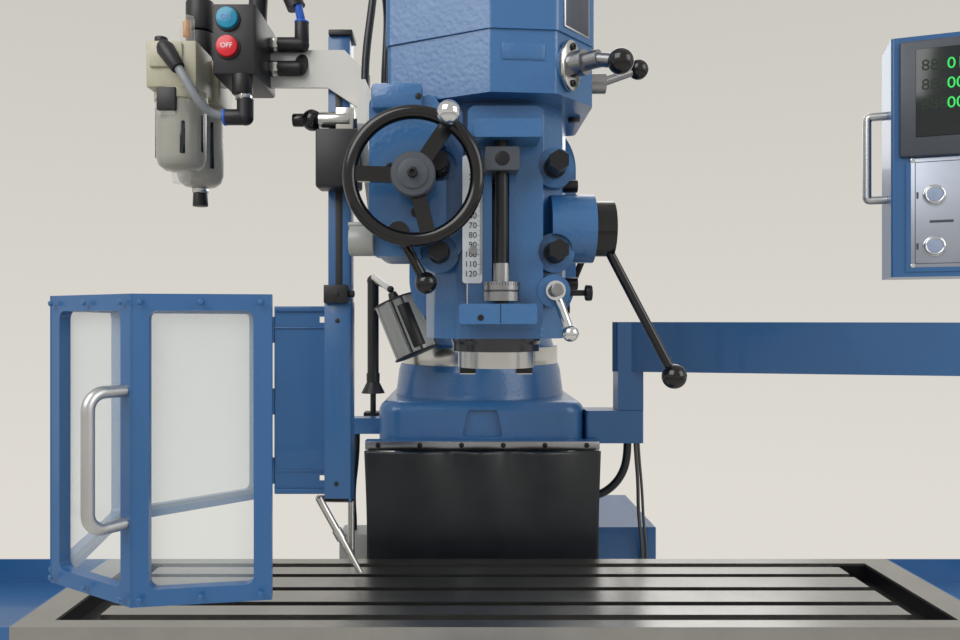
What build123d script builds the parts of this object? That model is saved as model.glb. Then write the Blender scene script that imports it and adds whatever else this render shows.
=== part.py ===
from build123d import *
import math
import os

# Turret mill, millimetres. +X is right seen from the front, +Y is towards the back, +Z is up.
# The origin is on the floor, at the centre of the four foundation bolts.

# Clearances
SLIDE_GAP = 0.3
SHAFT_GAP = 0.05
FACE_GAP = 0.3

# Base and column
BASE_WIDTH = 620.0
BASE_DEPTH = 1160.0
BASE_HEIGHT = 110.0
BASE_CORNER = 60.0
BOLT_SPACING_X = 500.0
BOLT_SPACING_Y = 1020.0
BOLT_HOLE_RADIUS = 11.0
TRAY_DEPTH = 35.0
COLUMN_FRONT_Y = -120.0
COLUMN_REAR_Y = 380.0
COLUMN_HALF_WIDTH = 195.0
COLUMN_TOP_HALF_WIDTH = 175.0
COLUMN_TOP_Z = 1125.0
WAY_HALF_WIDTH = 145.0
WAY_ROOT_HALF_WIDTH = 125.0
WAY_DEPTH = 30.0
WAY_BOTTOM_Z = 330.0
PEDESTAL_RADIUS = 45.0
PEDESTAL_TOP_Z = 420.0
PEDESTAL_FLOOR = 5.0
PEDESTAL_BORE_RADIUS = 24.0

# Column head, the casting between column and turret
TURRET_AXIS_Y = 80.0
HEADSTOCK_TOP_Z = 1280.0
LOWER_TIER_HALF_WIDTH = 205.0
LOWER_TIER_TOP_Z = 1215.0
LOWER_TIER_FRONT_Y = -135.0
UPPER_TIER_RADIUS = 178.0
RING_RADIUS = 172.5
RING_HEIGHT = 39.0
STRIP_DEPTH = 26.0
COVER_HALF_WIDTH = 225.0
COVER_THICKNESS = 4.0

# Knee
KNEE_TOP_Z = 770.0
KNEE_HALF_WIDTH = 165.0
KNEE_HEIGHT = 330.0
KNEE_FRONT_Y = -820.0
KNEE_WALL = 22.0
KNEE_RAIL_HALF_WIDTH = 120.0
KNEE_RAIL_ROOT = 100.0
KNEE_RAIL_HEIGHT = 28.0
SCREW_Y = -330.0
SCREW_RADIUS = 19.0
KNEE_DOWN = 250.0

# Saddle and table
SADDLE_HALF_WIDTH = 220.0
SADDLE_DEPTH = 330.0
SADDLE_CENTRE_Y = -421.5
TABLE_TOP_Z = 950.0
TABLE_THICKNESS = 85.0
TABLE_WIDTH = 305.0
TABLE_LENGTH = 1380.0
TABLE_CENTRE_X = 24.0
TABLE_RAIL_ROOT = 78.0
TABLE_RAIL_HALF_WIDTH = 95.0
TABLE_RAIL_HEIGHT = 26.0
SLOT_PITCH = 63.5
SLOT_COUNT = 3
SLOT_WIDTH = 16.0
SLOT_HEAD_WIDTH = 27.0
SLOT_HEAD_HEIGHT = 12.0
SLOT_DEPTH = 28.0
CHANNEL_OFFSET = 117.0
CHANNEL_WIDTH = 20.0
CHANNEL_DEPTH = 14.0
END_RIM = 50.0
END_TROUGH = 55.0
BRACKET_REACH = 62.0
TABLE_SCREW_RADIUS = 15.0
TABLE_SCREW_RISE = 2.0
TABLE_SCREW_BORE = 18.0
TRAY_LENGTH = 250.0
TRAY_WALL = 3.0
TRAY_HEIGHT = 45.0

# Handwheels and cranks on knee, saddle and table
CROSS_SCREW_Z = 700.0
CRANK_X = 118.0
CRANK_Z = 690.0
FRONT_SHAFT_RADIUS = 12.0
LOCK_LENGTH = 70.0
WHEEL_RADIUS = 90.0
WHEEL_RIM_RADIUS = 9.0
WHEEL_HUB_RADIUS = 26.0
WHEEL_SPOKE_COUNT = 3
KNEE_CRANK_LENGTH = 160.0

# Turret and ram
RAM_BOTTOM_Z = 1508.0
RAM_HEIGHT = 150.0
RAM_HALF_WIDTH = 95.0
RAM_FRONT_Y = -408.0
RAM_REAR_Y = 520.0
RAM_RAIL_HALF_WIDTH = 75.0
RAM_RAIL_ROOT = 58.0
RAM_RAIL_HEIGHT = 30.0
TURRET_HALF_WIDTH = 130.0
TURRET_HALF_LENGTH = 190.0
PINION_Z = 1400.0
RAM_LEVER_RADIUS = 12.0

# Nodding knuckle between ram and head
NOD_AXIS_Y = -510.0
HEAD_AXIS_Z = 1510.0
TONGUE_HALF_WIDTH = 35.0
TONGUE_RADIUS = 70.0
CHEEK_RADIUS = 92.0
CHEEK_HALF_WIDTH = 95.0
NOD_PIN_RADIUS = 18.0
KNUCKLE_REAR_Y = -600.0
KNUCKLE_FRONT_Y = -640.0
KNUCKLE_HALF_WIDTH = 108.0
KNUCKLE_BOTTOM_Z = 1358.0
KNUCKLE_TOP_Z = 1640.0
KNUCKLE_CORNER = 70.0

# Milling head
SPINDLE_Y = -732.0
HEAD_BOTTOM_Z = 1355.0
HEAD_TOP_Z = 1605.0
HEAD_FRONT_Y = -822.0
HEAD_HALF_WIDTH = 70.0
QUILL_RADIUS = 52.5
QUILL_BOTTOM_Z = 1339.0
QUILL_TOP_Z = 1596.0
NOSE_RADIUS = 44.45
NOSE_Z = 1320.0
NOSE_RING_RADIUS = 51.0
KEY_HEIGHT = 8.4
SPINDLE_RADIUS = 27.0
TAPER_MOUTH_RADIUS = 22.2
TAPER_LENGTH = 68.0
FLANGE_RADIUS = 104.0
PLATE_FRONT_Y = -842.0
STOP_SCREW_Y = -862.0
STOP_SCREW_RADIUS = 6.35
STOP_SCREW_LOW_Z = 1395.0
STOP_SCREW_HIGH_Z = 1575.0
PINION_X = 114.0
PINION_HEAD_Z = 1474.0
PINION_Y = -800.0
WHEEL_X = -87.0
WHEEL_Z = 1515.0
WHEEL_Y = -892.0
FEED_WHEEL_RADIUS = 62.0
FEED_RIM_RADIUS = 7.0
SEAT_RADIUS = 19.0
CLAMP_SEATS = ((-64.0, 1536.0), (58.0, 1536.0), (-64.0, 1446.0), (58.0, 1446.0))
GEAR_TOP_Z = HEAD_TOP_Z + 64.0
BELT_TOP_Z = GEAR_TOP_Z + 261.0
MOTOR_TOP_Z = BELT_TOP_Z + 270.0
MOTOR_RADIUS = 100.0
BELT_LEFT_X = -122.0
BELT_RIGHT_X = 103.0
BELT_FRONT_Y = -858.0
BELT_REAR_Y = -585.0
HOUSING_PROW_X = -12.0
HOUSING_PROW_Y = -866.0
HOUSING_CORNER_X = 57.0
HOUSING_CORNER_Y = -860.0
HOUSING_SIDE_Y = -808.0
HOUSING_LEFT_Y = -813.0
SHIFT_SEAT = (70.0, -844.7, HEAD_TOP_Z + 32.0)
SHIFT_AXIS = (0.7634, -0.6459, 0.0)
BRAKE_Y = -785.0
BRAKE_Z = HEAD_TOP_Z + 32.0
LOCK_X = 55.0
LOCK_Z = 1405.0
STOP_BLOCK_Z = (1524.0, 1547.0)
UPPER_LUG_Z = (1555.0, 1573.0)
LOWER_LUG_Z = (1371.0, 1391.0)
FEED_BOX_FRONT_Y = -852.0

# Electrical cabinet on the column's right side
CABINET_X = (200.0, 346.0)
CABINET_Y = (-40.0, 254.0)
CABINET_Z = (500.0, 945.0)
JUNCTION_BOX_X = (-284.0, -160.0)
JUNCTION_BOX_Y = (-95.0, -25.0)
JUNCTION_BOX_Z = (885.0, 945.0)
CABINET_PADS = (560.0, 850.0)
CABINET_WALL = 3.0
DOOR_THICKNESS = 18.0

# Lamp on the left of the column head
LAMP_X = -228.0
LAMP_Y = 0.0
LAMP_SEAT_Z = 1244.0
LAMP_ELBOW_Z = 1458.0
LAMP_HEAD_TOP = (-171.0, -112.0, 1412.0)
LAMP_HEAD_LOW = (-128.0, -122.0, 1309.0)
LAMP_HEAD_RADIUS = 45.0

# Readout arm, box and its knobs
ARM_PIVOT = (293.0, -98.0)
ARM_END = (850.0, -470.0)
ARM_LOW_Z = 1290.0
ARM_TOP_Z = 1371.0
ARM_THICKNESS = 40.0
POST_HALF = 25.0
BRACKET_LOW_Z = 1133.0
BRACKET_TOP_Z = 1197.0
BOX_CENTRE = (800.0, -443.0)
BOX_TURN = -20.0
BOX_WIDTH = 320.0
BOX_DEPTH = 90.0
BOX_LOW_Z = 1442.0
BOX_HEIGHT = 374.0
KNOB_SEATS = ((-102.0, 126.0), (-102.0, 47.0))

# Guard, its rail and the air unit on the ram's left side
RAIL_X = (-256.0, -218.0)
RAIL_Y = (-480.0, -442.0)
RAIL_Z = (1100.0, 1803.0)
GUARD_LOW_Z = 1103.0
GUARD_TOP_Z = 1400.0
GUARD_PLAN = ((-226.0, -891.0), (-353.0, -912.0), (-467.0, -840.0), (-509.0, -599.0), (-352.0, -454.0))
GUARD_THICKNESS = 12.0
GUARD_MEMBER = 16.0
PANE_THICKNESS = 3.0
HINGE_X = -336.0
HINGE_Y = -462.0
AIR_ARM_X = -400.0
AIR_ARM_Y = -484.0
BUTTON_BOX_X = (-395.0, -333.0)
BUTTON_BOX_Y = (-575.0, -490.0)
BUTTON_BOX_Z = (1726.0, 1826.0)
BUTTON_Z = {"on": 1806.0, "off": 1766.0}
BUTTON_RADIUS = 15.0
BOWL_RADIUS = 34.0
FILTER_ELBOW = (-443.0, -588.0, 1745.0)
ELBOW_X = -352.0
ELBOW_Y = -568.0
ELBOW_Z = 1662.0
BOWL_CENTRES = ((-440.0, -540.0), (-440.0, -460.0))
AIR_BODY_Z = (1707.0, 1774.0)
BOWL_LOW_Z = 1582.0


def block(x, y, z):
    """Block between the given limits along X, Y and Z."""
    centre = ((x[0] + x[1]) / 2, (y[0] + y[1]) / 2, (z[0] + z[1]) / 2)
    return Pos(*centre) * Box(x[1] - x[0], y[1] - y[0], z[1] - z[0])


def rod(start, end, radius, end_radius=None):
    """Round bar between two points, tapered where an end radius is given."""
    run = Vector(*end) - Vector(*start)
    bottom = (Align.CENTER, Align.CENTER, Align.MIN)
    place = Plane(origin=start, z_dir=run)
    if end_radius is None:
        return place * Cylinder(radius, run.length, align=bottom)
    return place * Cone(radius, end_radius, run.length, align=bottom)


def ball(centre, radius):
    return Pos(*centre) * Sphere(radius)


def drum(profile, origin, direction):
    """Turned piece: (radius, distance along the axis) pairs spun about a line."""
    place = Plane(origin=origin, z_dir=direction)
    outline = make_face(Polyline(*[(r, 0, d) for r, d in profile], close=True))
    return place * revolve(outline, axis=Axis.Z)


def slab(points, plane, depth):
    """Flat outline on a plane, given thickness along the plane's normal."""
    return extrude(plane * make_face(Polyline(*points, close=True)), depth)


def soft_slab(points, plane, depth, corner):
    """Flat outline with rounded corners, given thickness along the plane's normal."""
    outline = make_face(Polyline(*points, close=True))
    return extrude(plane * fillet(outline.vertices(), corner), depth)


def rectangle(x, y):
    return [(x[0], y[0]), (x[1], y[0]), (x[1], y[1]), (x[0], y[1])]


def level(z):
    """Horizontal plane at a height, X right and Y back."""
    return Plane(origin=(0, 0, z), x_dir=(1, 0, 0), z_dir=(0, 0, 1))


def upright(y):
    """Upright plane facing the front at a depth, X right and Z up, thickness towards the front."""
    return Plane(origin=(0, y, 0), x_dir=(1, 0, 0), z_dir=(0, -1, 0))


def sideways(x):
    """Upright plane facing right, Y back and Z up, thickness towards +X."""
    return Plane(origin=(x, 0, 0), x_dir=(0, 1, 0), z_dir=(1, 0, 0))


def ease(solid, axis, radius, low=None, high=None):
    """Rounds the edges that run along an axis, within limits along that axis."""
    edges = solid.edges().filter_by(axis)
    if low is not None:
        edges = edges.filter_by_position(axis, low, high)
    return fillet(edges, radius)


def dovetail(root, wide, low, high):
    """Outline of a dovetail: its root half-width at low and its wide half-width at high."""
    return [(-root, low), (root, low), (wide, high), (-wide, high)]


def bent_tube(points, radius):
    """Tube along straight runs joined by arcs as large as the runs allow."""
    corners = []
    for before, here, after in zip(points, points[1:], points[2:]):
        run_in = Vector(*here) - Vector(*before)
        run_out = Vector(*after) - Vector(*here)
        turn = math.radians(run_in.get_angle(run_out))
        short = min(run_in.length, run_out.length)
        corners.append(0.45 * short / math.tan(turn / 2))
    route = FilletPolyline(*points, radius=corners)
    return sweep(Plane(origin=route @ 0, z_dir=route % 0) * Circle(radius), path=route)


def column():
    """Base and column, one casting, with the dovetail ways the knee slides on."""
    half_x = BASE_WIDTH / 2
    half_y = BASE_DEPTH / 2
    foot = rectangle((-half_x, half_x), (-half_y, half_y))
    base = soft_slab(foot, level(0), BASE_HEIGHT, BASE_CORNER)
    base = fillet(base.faces().sort_by(Axis.Z)[-1].edges(), 12)
    rear = COLUMN_REAR_Y
    lower = rectangle((-COLUMN_HALF_WIDTH, COLUMN_HALF_WIDTH), (COLUMN_FRONT_Y, rear))
    upper = rectangle(
        (-COLUMN_TOP_HALF_WIDTH, COLUMN_TOP_HALF_WIDTH), (COLUMN_FRONT_Y, rear - 60)
    )
    sections = []
    for outline, height in ((lower, BASE_HEIGHT - 1), (upper, COLUMN_TOP_Z)):
        face = make_face(Polyline(*outline, close=True))
        sections.append(level(height) * fillet(face.vertices(), 30))
    body = loft(sections)
    ways = slab(
        dovetail(-WAY_ROOT_HALF_WIDTH, -WAY_HALF_WIDTH, -COLUMN_FRONT_Y - 2, WAY_DEPTH - COLUMN_FRONT_Y),
        Plane(origin=(0, 0, WAY_BOTTOM_Z), x_dir=(-1, 0, 0), z_dir=(0, 0, 1)),
        COLUMN_TOP_Z - WAY_BOTTOM_Z,
    )
    casting = base + body + ways
    for z in CABINET_PADS:
        casting += block((150, CABINET_X[0]), (CABINET_Y[0] + 20, CABINET_Y[1] - 20), (z, z + 40))
    casting += block(JUNCTION_BOX_X, JUNCTION_BOX_Y, JUNCTION_BOX_Z)
    casting += block((150, 187), (-116, -68), (996, 1044))
    basin = rectangle((-half_x + 50, half_x - 50), (-half_y + 45, COLUMN_FRONT_Y - 60))
    casting -= soft_slab(basin, level(BASE_HEIGHT - TRAY_DEPTH), TRAY_DEPTH + 5, 30)
    casting += Pos(0, SCREW_Y, 0) * Cylinder(
        PEDESTAL_RADIUS, PEDESTAL_TOP_Z, align=(Align.CENTER, Align.CENTER, Align.MIN)
    )
    casting -= Pos(0, SCREW_Y, PEDESTAL_FLOOR) * Cylinder(
        PEDESTAL_BORE_RADIUS, PEDESTAL_TOP_Z, align=(Align.CENTER, Align.CENTER, Align.MIN)
    )
    for x in (-BOLT_SPACING_X / 2, BOLT_SPACING_X / 2):
        for y in (-BOLT_SPACING_Y / 2, BOLT_SPACING_Y / 2):
            casting -= Pos(x, y, BASE_HEIGHT / 2) * Cylinder(BOLT_HOLE_RADIUS, BASE_HEIGHT + 2)
            casting -= Pos(x, y, BASE_HEIGHT) * Cylinder(BOLT_HOLE_RADIUS * 2, 12)
    return casting


def column_head():
    """Casting on the column that carries the turret, with a front relief and the cover strip."""
    width = LOWER_TIER_HALF_WIDTH
    front = LOWER_TIER_FRONT_Y
    rear = COLUMN_REAR_Y - 60
    lower = soft_slab(
        rectangle((-width, width), (front, rear)),
        level(COLUMN_TOP_Z),
        LOWER_TIER_TOP_Z - COLUMN_TOP_Z,
        45,
    )
    lower = fillet(lower.faces().sort_by(Axis.Z)[-1].edges(), 22)
    neck = drum(
        [
            (0, LOWER_TIER_TOP_Z - 40),
            (UPPER_TIER_RADIUS + 16, LOWER_TIER_TOP_Z - 40),
            (UPPER_TIER_RADIUS + 6, LOWER_TIER_TOP_Z + 8),
            (UPPER_TIER_RADIUS, HEADSTOCK_TOP_Z - 12),
            (UPPER_TIER_RADIUS - 4, HEADSTOCK_TOP_Z),
            (0, HEADSTOCK_TOP_Z),
        ],
        (0, TURRET_AXIS_Y, 0),
        (0, 0, 1),
    )
    relief = [(-39, COLUMN_TOP_Z + 22), (41, COLUMN_TOP_Z + 22), (30, 1199), (-28, 1199)]
    body = lower + neck
    body -= soft_slab(relief, upright(front + 9), 12, 7)
    strip = block(
        (-COVER_HALF_WIDTH, COVER_HALF_WIDTH),
        (front - STRIP_DEPTH, front),
        (COLUMN_TOP_Z + 2, COLUMN_TOP_Z + 18),
    )
    gland = block((-276, -190), (-78, -42), (1144, 1176))
    return body + strip + ease(gland, Axis.Z, 8)


def way_cover():
    """Rubber curtain in front of the column's ways, from the strip down to the knee."""
    top = COLUMN_TOP_Z + 2
    low = KNEE_TOP_Z + FACE_GAP
    hang = LOWER_TIER_FRONT_Y - STRIP_DEPTH
    middle = [(0, top), (-14, top - 32), (-24, top - 90), (-28, low + 160), (-38, low)]
    side = [(hang + y, z) for y, z in middle]
    side += [(hang + y + COVER_THICKNESS, z) for y, z in reversed(middle)]
    return slab(side, sideways(-COVER_HALF_WIDTH), 2 * COVER_HALF_WIDTH)


def knee():
    """Knee casting: dovetail slot at the back, saddle rails on top, hollow below."""
    half = KNEE_HALF_WIDTH
    rear = COLUMN_FRONT_Y - FACE_GAP
    low_rear = KNEE_TOP_Z - KNEE_HEIGHT
    side = [
        (rear, KNEE_TOP_Z),
        (KNEE_FRONT_Y, KNEE_TOP_Z),
        (KNEE_FRONT_Y, KNEE_TOP_Z - 130),
        (SCREW_Y - 90, low_rear + 70),
        (SCREW_Y + 60, low_rear),
        (rear, low_rear),
    ]
    body = slab(side, sideways(-half), 2 * half)
    body = ease(body, Axis.Z, 18)
    hollow = [
        (rear - WAY_DEPTH - 40, KNEE_TOP_Z - 45),
        (KNEE_FRONT_Y + KNEE_WALL, KNEE_TOP_Z - 45),
        (KNEE_FRONT_Y + KNEE_WALL, KNEE_TOP_Z - 120),
        (SCREW_Y - 80, low_rear - 10),
        (rear - WAY_DEPTH - 40, low_rear - 10),
    ]
    inner = half - KNEE_WALL
    body -= slab(hollow, sideways(-inner), 2 * inner)
    slot = dovetail(
        -(WAY_ROOT_HALF_WIDTH + SLIDE_GAP),
        -(WAY_HALF_WIDTH + SLIDE_GAP),
        -COLUMN_FRONT_Y - 2,
        WAY_DEPTH - COLUMN_FRONT_Y + SLIDE_GAP,
    )
    slot_plane = Plane(origin=(0, 0, low_rear - 5), x_dir=(-1, 0, 0), z_dir=(0, 0, 1))
    body -= slab(slot, slot_plane, KNEE_HEIGHT + 10)
    rails = dovetail(
        KNEE_RAIL_ROOT, KNEE_RAIL_HALF_WIDTH, KNEE_TOP_Z - 1, KNEE_TOP_Z + KNEE_RAIL_HEIGHT
    )
    body += slab(rails, upright(rear - 130), rear - 130 - KNEE_FRONT_Y)
    for x, z, reach in ((0, CROSS_SCREW_Z, 22), (CRANK_X, CRANK_Z, 30)):
        body += rod((x, KNEE_FRONT_Y + 5, z), (x, KNEE_FRONT_Y - reach, z), 30)
        bore = FRONT_SHAFT_RADIUS + SHAFT_GAP
        body -= rod((x, KNEE_FRONT_Y + 60, z), (x, KNEE_FRONT_Y - reach - 5, z), bore)
    nut = Pos(0, SCREW_Y, KNEE_TOP_Z - 60) * Cylinder(34, 40)
    body += nut
    body -= Pos(0, SCREW_Y, KNEE_TOP_Z - 75) * Cylinder(SCREW_RADIUS + SHAFT_GAP, 60)
    return body


def elevating_screw():
    """Screw hanging from the knee into its nut post on the base."""
    bottom = PEDESTAL_FLOOR + 7 + KNEE_DOWN
    collar_top = KNEE_TOP_Z - 80
    return drum(
        [
            (0, bottom),
            (SCREW_RADIUS - 2, bottom),
            (SCREW_RADIUS, bottom + 4),
            (SCREW_RADIUS, collar_top - 20),
            (SCREW_RADIUS + 11, collar_top - 20),
            (SCREW_RADIUS + 11, collar_top),
            (SCREW_RADIUS, collar_top),
            (SCREW_RADIUS, collar_top + 32),
            (0, collar_top + 32),
        ],
        (0, SCREW_Y, 0),
        (0, 0, 1),
    )


def saddle():
    """Saddle: rails of the knee below, rails of the table above, cross screw nut in front."""
    bottom = KNEE_TOP_Z + FACE_GAP
    top = TABLE_TOP_Z - TABLE_THICKNESS - FACE_GAP
    front = SADDLE_CENTRE_Y - SADDLE_DEPTH / 2
    rear = SADDLE_CENTRE_Y + SADDLE_DEPTH / 2
    half = SADDLE_HALF_WIDTH
    body = block((-half, half), (front, rear), (bottom, top))
    body = ease(body, Axis.Z, 25)
    body += block((-half - 60, half + 60), (front + 70, rear - 70), (bottom + 30, top - 8))
    body -= slab(
        dovetail(
            KNEE_RAIL_ROOT + SLIDE_GAP,
            KNEE_RAIL_HALF_WIDTH + SLIDE_GAP,
            KNEE_TOP_Z - 1,
            KNEE_TOP_Z + KNEE_RAIL_HEIGHT + SLIDE_GAP,
        ),
        upright(rear + 5),
        SADDLE_DEPTH + 10,
    )
    rail = [
        (SADDLE_CENTRE_Y - TABLE_RAIL_ROOT, top - 1),
        (SADDLE_CENTRE_Y + TABLE_RAIL_ROOT, top - 1),
        (SADDLE_CENTRE_Y + TABLE_RAIL_HALF_WIDTH, top + TABLE_RAIL_HEIGHT),
        (SADDLE_CENTRE_Y - TABLE_RAIL_HALF_WIDTH, top + TABLE_RAIL_HEIGHT),
    ]
    body += slab(rail, sideways(-half), 2 * half)
    screw_z = TABLE_TOP_Z - TABLE_THICKNESS + TABLE_SCREW_RISE
    groove = block(
        (-half - 61, half + 61),
        (SADDLE_CENTRE_Y - TABLE_SCREW_BORE, SADDLE_CENTRE_Y + TABLE_SCREW_BORE),
        (screw_z - TABLE_SCREW_BORE, top + TABLE_RAIL_HEIGHT + 1),
    )
    return body - groove


def table_profile_slots(body):
    """Cuts the T-slots, the two coolant channels and the end troughs into the table top."""
    half = TABLE_LENGTH / 2
    inner = half - END_RIM
    span = (TABLE_CENTRE_X - inner, TABLE_CENTRE_X + inner)
    slot_floor = TABLE_TOP_Z - SLOT_DEPTH
    for n in range(SLOT_COUNT):
        y = SADDLE_CENTRE_Y + (n - (SLOT_COUNT - 1) / 2) * SLOT_PITCH
        neck = (y - SLOT_WIDTH / 2, y + SLOT_WIDTH / 2)
        head = (y - SLOT_HEAD_WIDTH / 2, y + SLOT_HEAD_WIDTH / 2)
        body -= block(span, neck, (slot_floor, TABLE_TOP_Z + 1))
        body -= block(span, head, (slot_floor, slot_floor + SLOT_HEAD_HEIGHT))
    for side in (-1, 1):
        y = SADDLE_CENTRE_Y + side * CHANNEL_OFFSET
        channel = (y - CHANNEL_WIDTH / 2, y + CHANNEL_WIDTH / 2)
        body -= block(span, channel, (TABLE_TOP_Z - CHANNEL_DEPTH, TABLE_TOP_Z + 1))
    reach = CHANNEL_OFFSET + CHANNEL_WIDTH / 2
    trough_y = (SADDLE_CENTRE_Y - reach, SADDLE_CENTRE_Y + reach)
    trough_z = (TABLE_TOP_Z - SLOT_DEPTH, TABLE_TOP_Z + 1)
    for side in (-1, 1):
        outer = TABLE_CENTRE_X + side * inner
        body -= block(sorted((outer, outer - side * END_TROUGH)), trough_y, trough_z)
    return body


def table():
    """Table with T-slots, coolant channels, end troughs and the end brackets of its screw."""
    half = TABLE_LENGTH / 2
    bottom = TABLE_TOP_Z - TABLE_THICKNESS
    front = SADDLE_CENTRE_Y - TABLE_WIDTH / 2
    rear = SADDLE_CENTRE_Y + TABLE_WIDTH / 2
    ends = (TABLE_CENTRE_X - half, TABLE_CENTRE_X + half)
    body = block(ends, (front, rear), (bottom, TABLE_TOP_Z))
    body -= block((ends[0] - 1, ends[1] + 1), (front - 1, front + 10), (bottom - 1, TABLE_TOP_Z - 36))
    body -= block((ends[0] - 1, ends[1] + 1), (rear - 10, rear + 1), (bottom - 1, TABLE_TOP_Z - 36))
    body = table_profile_slots(body)
    way = [
        (SADDLE_CENTRE_Y - TABLE_RAIL_ROOT - SLIDE_GAP, bottom - 2),
        (SADDLE_CENTRE_Y + TABLE_RAIL_ROOT + SLIDE_GAP, bottom - 2),
        (SADDLE_CENTRE_Y + TABLE_RAIL_HALF_WIDTH + SLIDE_GAP, bottom + TABLE_RAIL_HEIGHT),
        (SADDLE_CENTRE_Y - TABLE_RAIL_HALF_WIDTH - SLIDE_GAP, bottom + TABLE_RAIL_HEIGHT),
    ]
    body -= slab(way, sideways(ends[0] - 1), TABLE_LENGTH + 2)
    screw_z = bottom + TABLE_SCREW_RISE
    for side, end in zip((-1, 1), ends):
        bracket = block(
            sorted((end, end + side * 38)),
            (SADDLE_CENTRE_Y - 70, SADDLE_CENTRE_Y + 70),
            (bottom - 18, TABLE_TOP_Z - 50),
        )
        bracket = ease(bracket, Axis.X, 16)
        boss_end = end + side * BRACKET_REACH
        bracket += rod(
            (end + side * 20, SADDLE_CENTRE_Y, screw_z), (boss_end, SADDLE_CENTRE_Y, screw_z), 34
        )
        body += bracket
    body -= rod(
        (ends[0] - BRACKET_REACH - 5, SADDLE_CENTRE_Y, screw_z),
        (ends[1] + BRACKET_REACH + 5, SADDLE_CENTRE_Y, screw_z),
        TABLE_SCREW_RADIUS + SHAFT_GAP,
    )
    return body


def end_trays():
    """Open-top sheet trays hung on both ends of the table."""
    trays = []
    bottom = TABLE_TOP_Z - TRAY_HEIGHT
    front = SADDLE_CENTRE_Y - TABLE_WIDTH / 2
    rear = SADDLE_CENTRE_Y + TABLE_WIDTH / 2
    half = TABLE_LENGTH / 2
    for side in (-1, 1):
        near = TABLE_CENTRE_X + side * half
        far = near + side * TRAY_LENGTH
        x = sorted((near, far))
        tray = block(x, (front, rear), (bottom, TABLE_TOP_Z))
        wall = TRAY_WALL
        tray -= block(
            (x[0] + wall, x[1] - wall),
            (front + wall, rear - wall),
            (bottom + wall, TABLE_TOP_Z + 1),
        )
        trays.append(tray)
    return Compound(children=trays)


def wheel(centre, outward):
    """Handwheel with a round rim, spokes and a turned handle, facing along outward."""
    wheel_plane = Plane(origin=centre, z_dir=outward)
    body = wheel_plane * Torus(WHEEL_RADIUS, WHEEL_RIM_RADIUS)
    body += wheel_plane * Cylinder(WHEEL_HUB_RADIUS, 26)
    for n in range(WHEEL_SPOKE_COUNT):
        spoke = Rot(0, 0, n * 360 / WHEEL_SPOKE_COUNT) * Pos(WHEEL_RADIUS / 2 + 8, 0, 0)
        body += wheel_plane * spoke * Box(WHEEL_RADIUS - 12, 16, 9)
    grip = [(0, 0), (7, 0), (7, 8), (9, 10), (12, 38), (9, 62), (5, 68), (0, 68)]
    handle_at = (wheel_plane * Location((WHEEL_RADIUS, 0, 0))).position
    body += drum(grip, tuple(handle_at), outward)
    return body


def table_screw():
    """Leadscrew of the table with a handwheel keyed on each end, outside the trays."""
    z = TABLE_TOP_Z - TABLE_THICKNESS + TABLE_SCREW_RISE
    y = SADDLE_CENTRE_Y
    seat = TABLE_LENGTH / 2 + BRACKET_REACH
    reach = TABLE_LENGTH / 2 + TRAY_LENGTH + 40
    left, right = TABLE_CENTRE_X - reach, TABLE_CENTRE_X + reach
    body = rod((left - 18, y, z), (right + 18, y, z), TABLE_SCREW_RADIUS)
    for side, end in ((-1, left), (1, right)):
        collar = TABLE_CENTRE_X + side * (seat + FACE_GAP)
        body += rod((collar, y, z), (collar + side * 14, y, z), TABLE_SCREW_RADIUS + 9)
        body += wheel((end, y, z), (side, 0, 0))
    return body


def cross_handwheel():
    """Handwheel and screw end that move the saddle in and out."""
    front = KNEE_FRONT_Y - 22
    body = rod((0, KNEE_FRONT_Y + 50, CROSS_SCREW_Z), (0, front - 40, CROSS_SCREW_Z), FRONT_SHAFT_RADIUS)
    body += rod((0, front - FACE_GAP, CROSS_SCREW_Z), (0, front - 18, CROSS_SCREW_Z), 30)
    return body + wheel((0, front - 32, CROSS_SCREW_Z), (0, -1, 0))


def knee_crank():
    """Removable crank that winds the knee up and down."""
    front = KNEE_FRONT_Y - 30
    plane_y = front - 112
    body = rod((CRANK_X, KNEE_FRONT_Y + 50, CRANK_Z), (CRANK_X, plane_y - 14, CRANK_Z), FRONT_SHAFT_RADIUS)
    body += rod((CRANK_X, front - FACE_GAP, CRANK_Z), (CRANK_X, front - 16, CRANK_Z), 20)
    body += rod((CRANK_X, plane_y + 14, CRANK_Z), (CRANK_X, plane_y - 14, CRANK_Z), 22)
    low = CRANK_Z - KNEE_CRANK_LENGTH
    body += block((CRANK_X - 11, CRANK_X + 11), (plane_y - 7, plane_y + 7), (low, CRANK_Z))
    body += rod((CRANK_X, plane_y + 10, low), (CRANK_X, plane_y - 10, low), 15)
    grip = [(0, 8), (8, 8), (12, 20), (14, 60), (12, 100), (7, 110), (0, 110)]
    return body + drum(grip, (CRANK_X, plane_y, low), (0, -1, 0))


def lock_lever(seat, outward, sweep_dir):
    """Clamp lever: stud seated in a casting, hub and ball-ended arm."""
    out = Vector(*outward)
    hub_start = Vector(*seat) + out * FACE_GAP
    hub_end = Vector(*seat) + out * 22
    tip = hub_end + Vector(*sweep_dir) * LOCK_LENGTH + out * 12
    root = Vector(*seat) + out * 14
    body = rod(tuple(hub_start), tuple(hub_end), 13)
    body += rod(tuple(root), tuple(tip), 5)
    return body + ball(tuple(tip), 9)


def table_lock():
    """Lever on the saddle's front that clamps the table."""
    seat_y = SADDLE_CENTRE_Y - SADDLE_DEPTH / 2
    return lock_lever((110, seat_y, TABLE_TOP_Z - 115), (0, -1, 0), (0.9, 0, -0.4))


def knee_lock():
    """Lever on the knee's side that clamps it to the column."""
    return lock_lever((KNEE_HALF_WIDTH, -190, KNEE_TOP_Z - 90), (1, 0, 0), (0, -0.5, -0.85))


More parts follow.
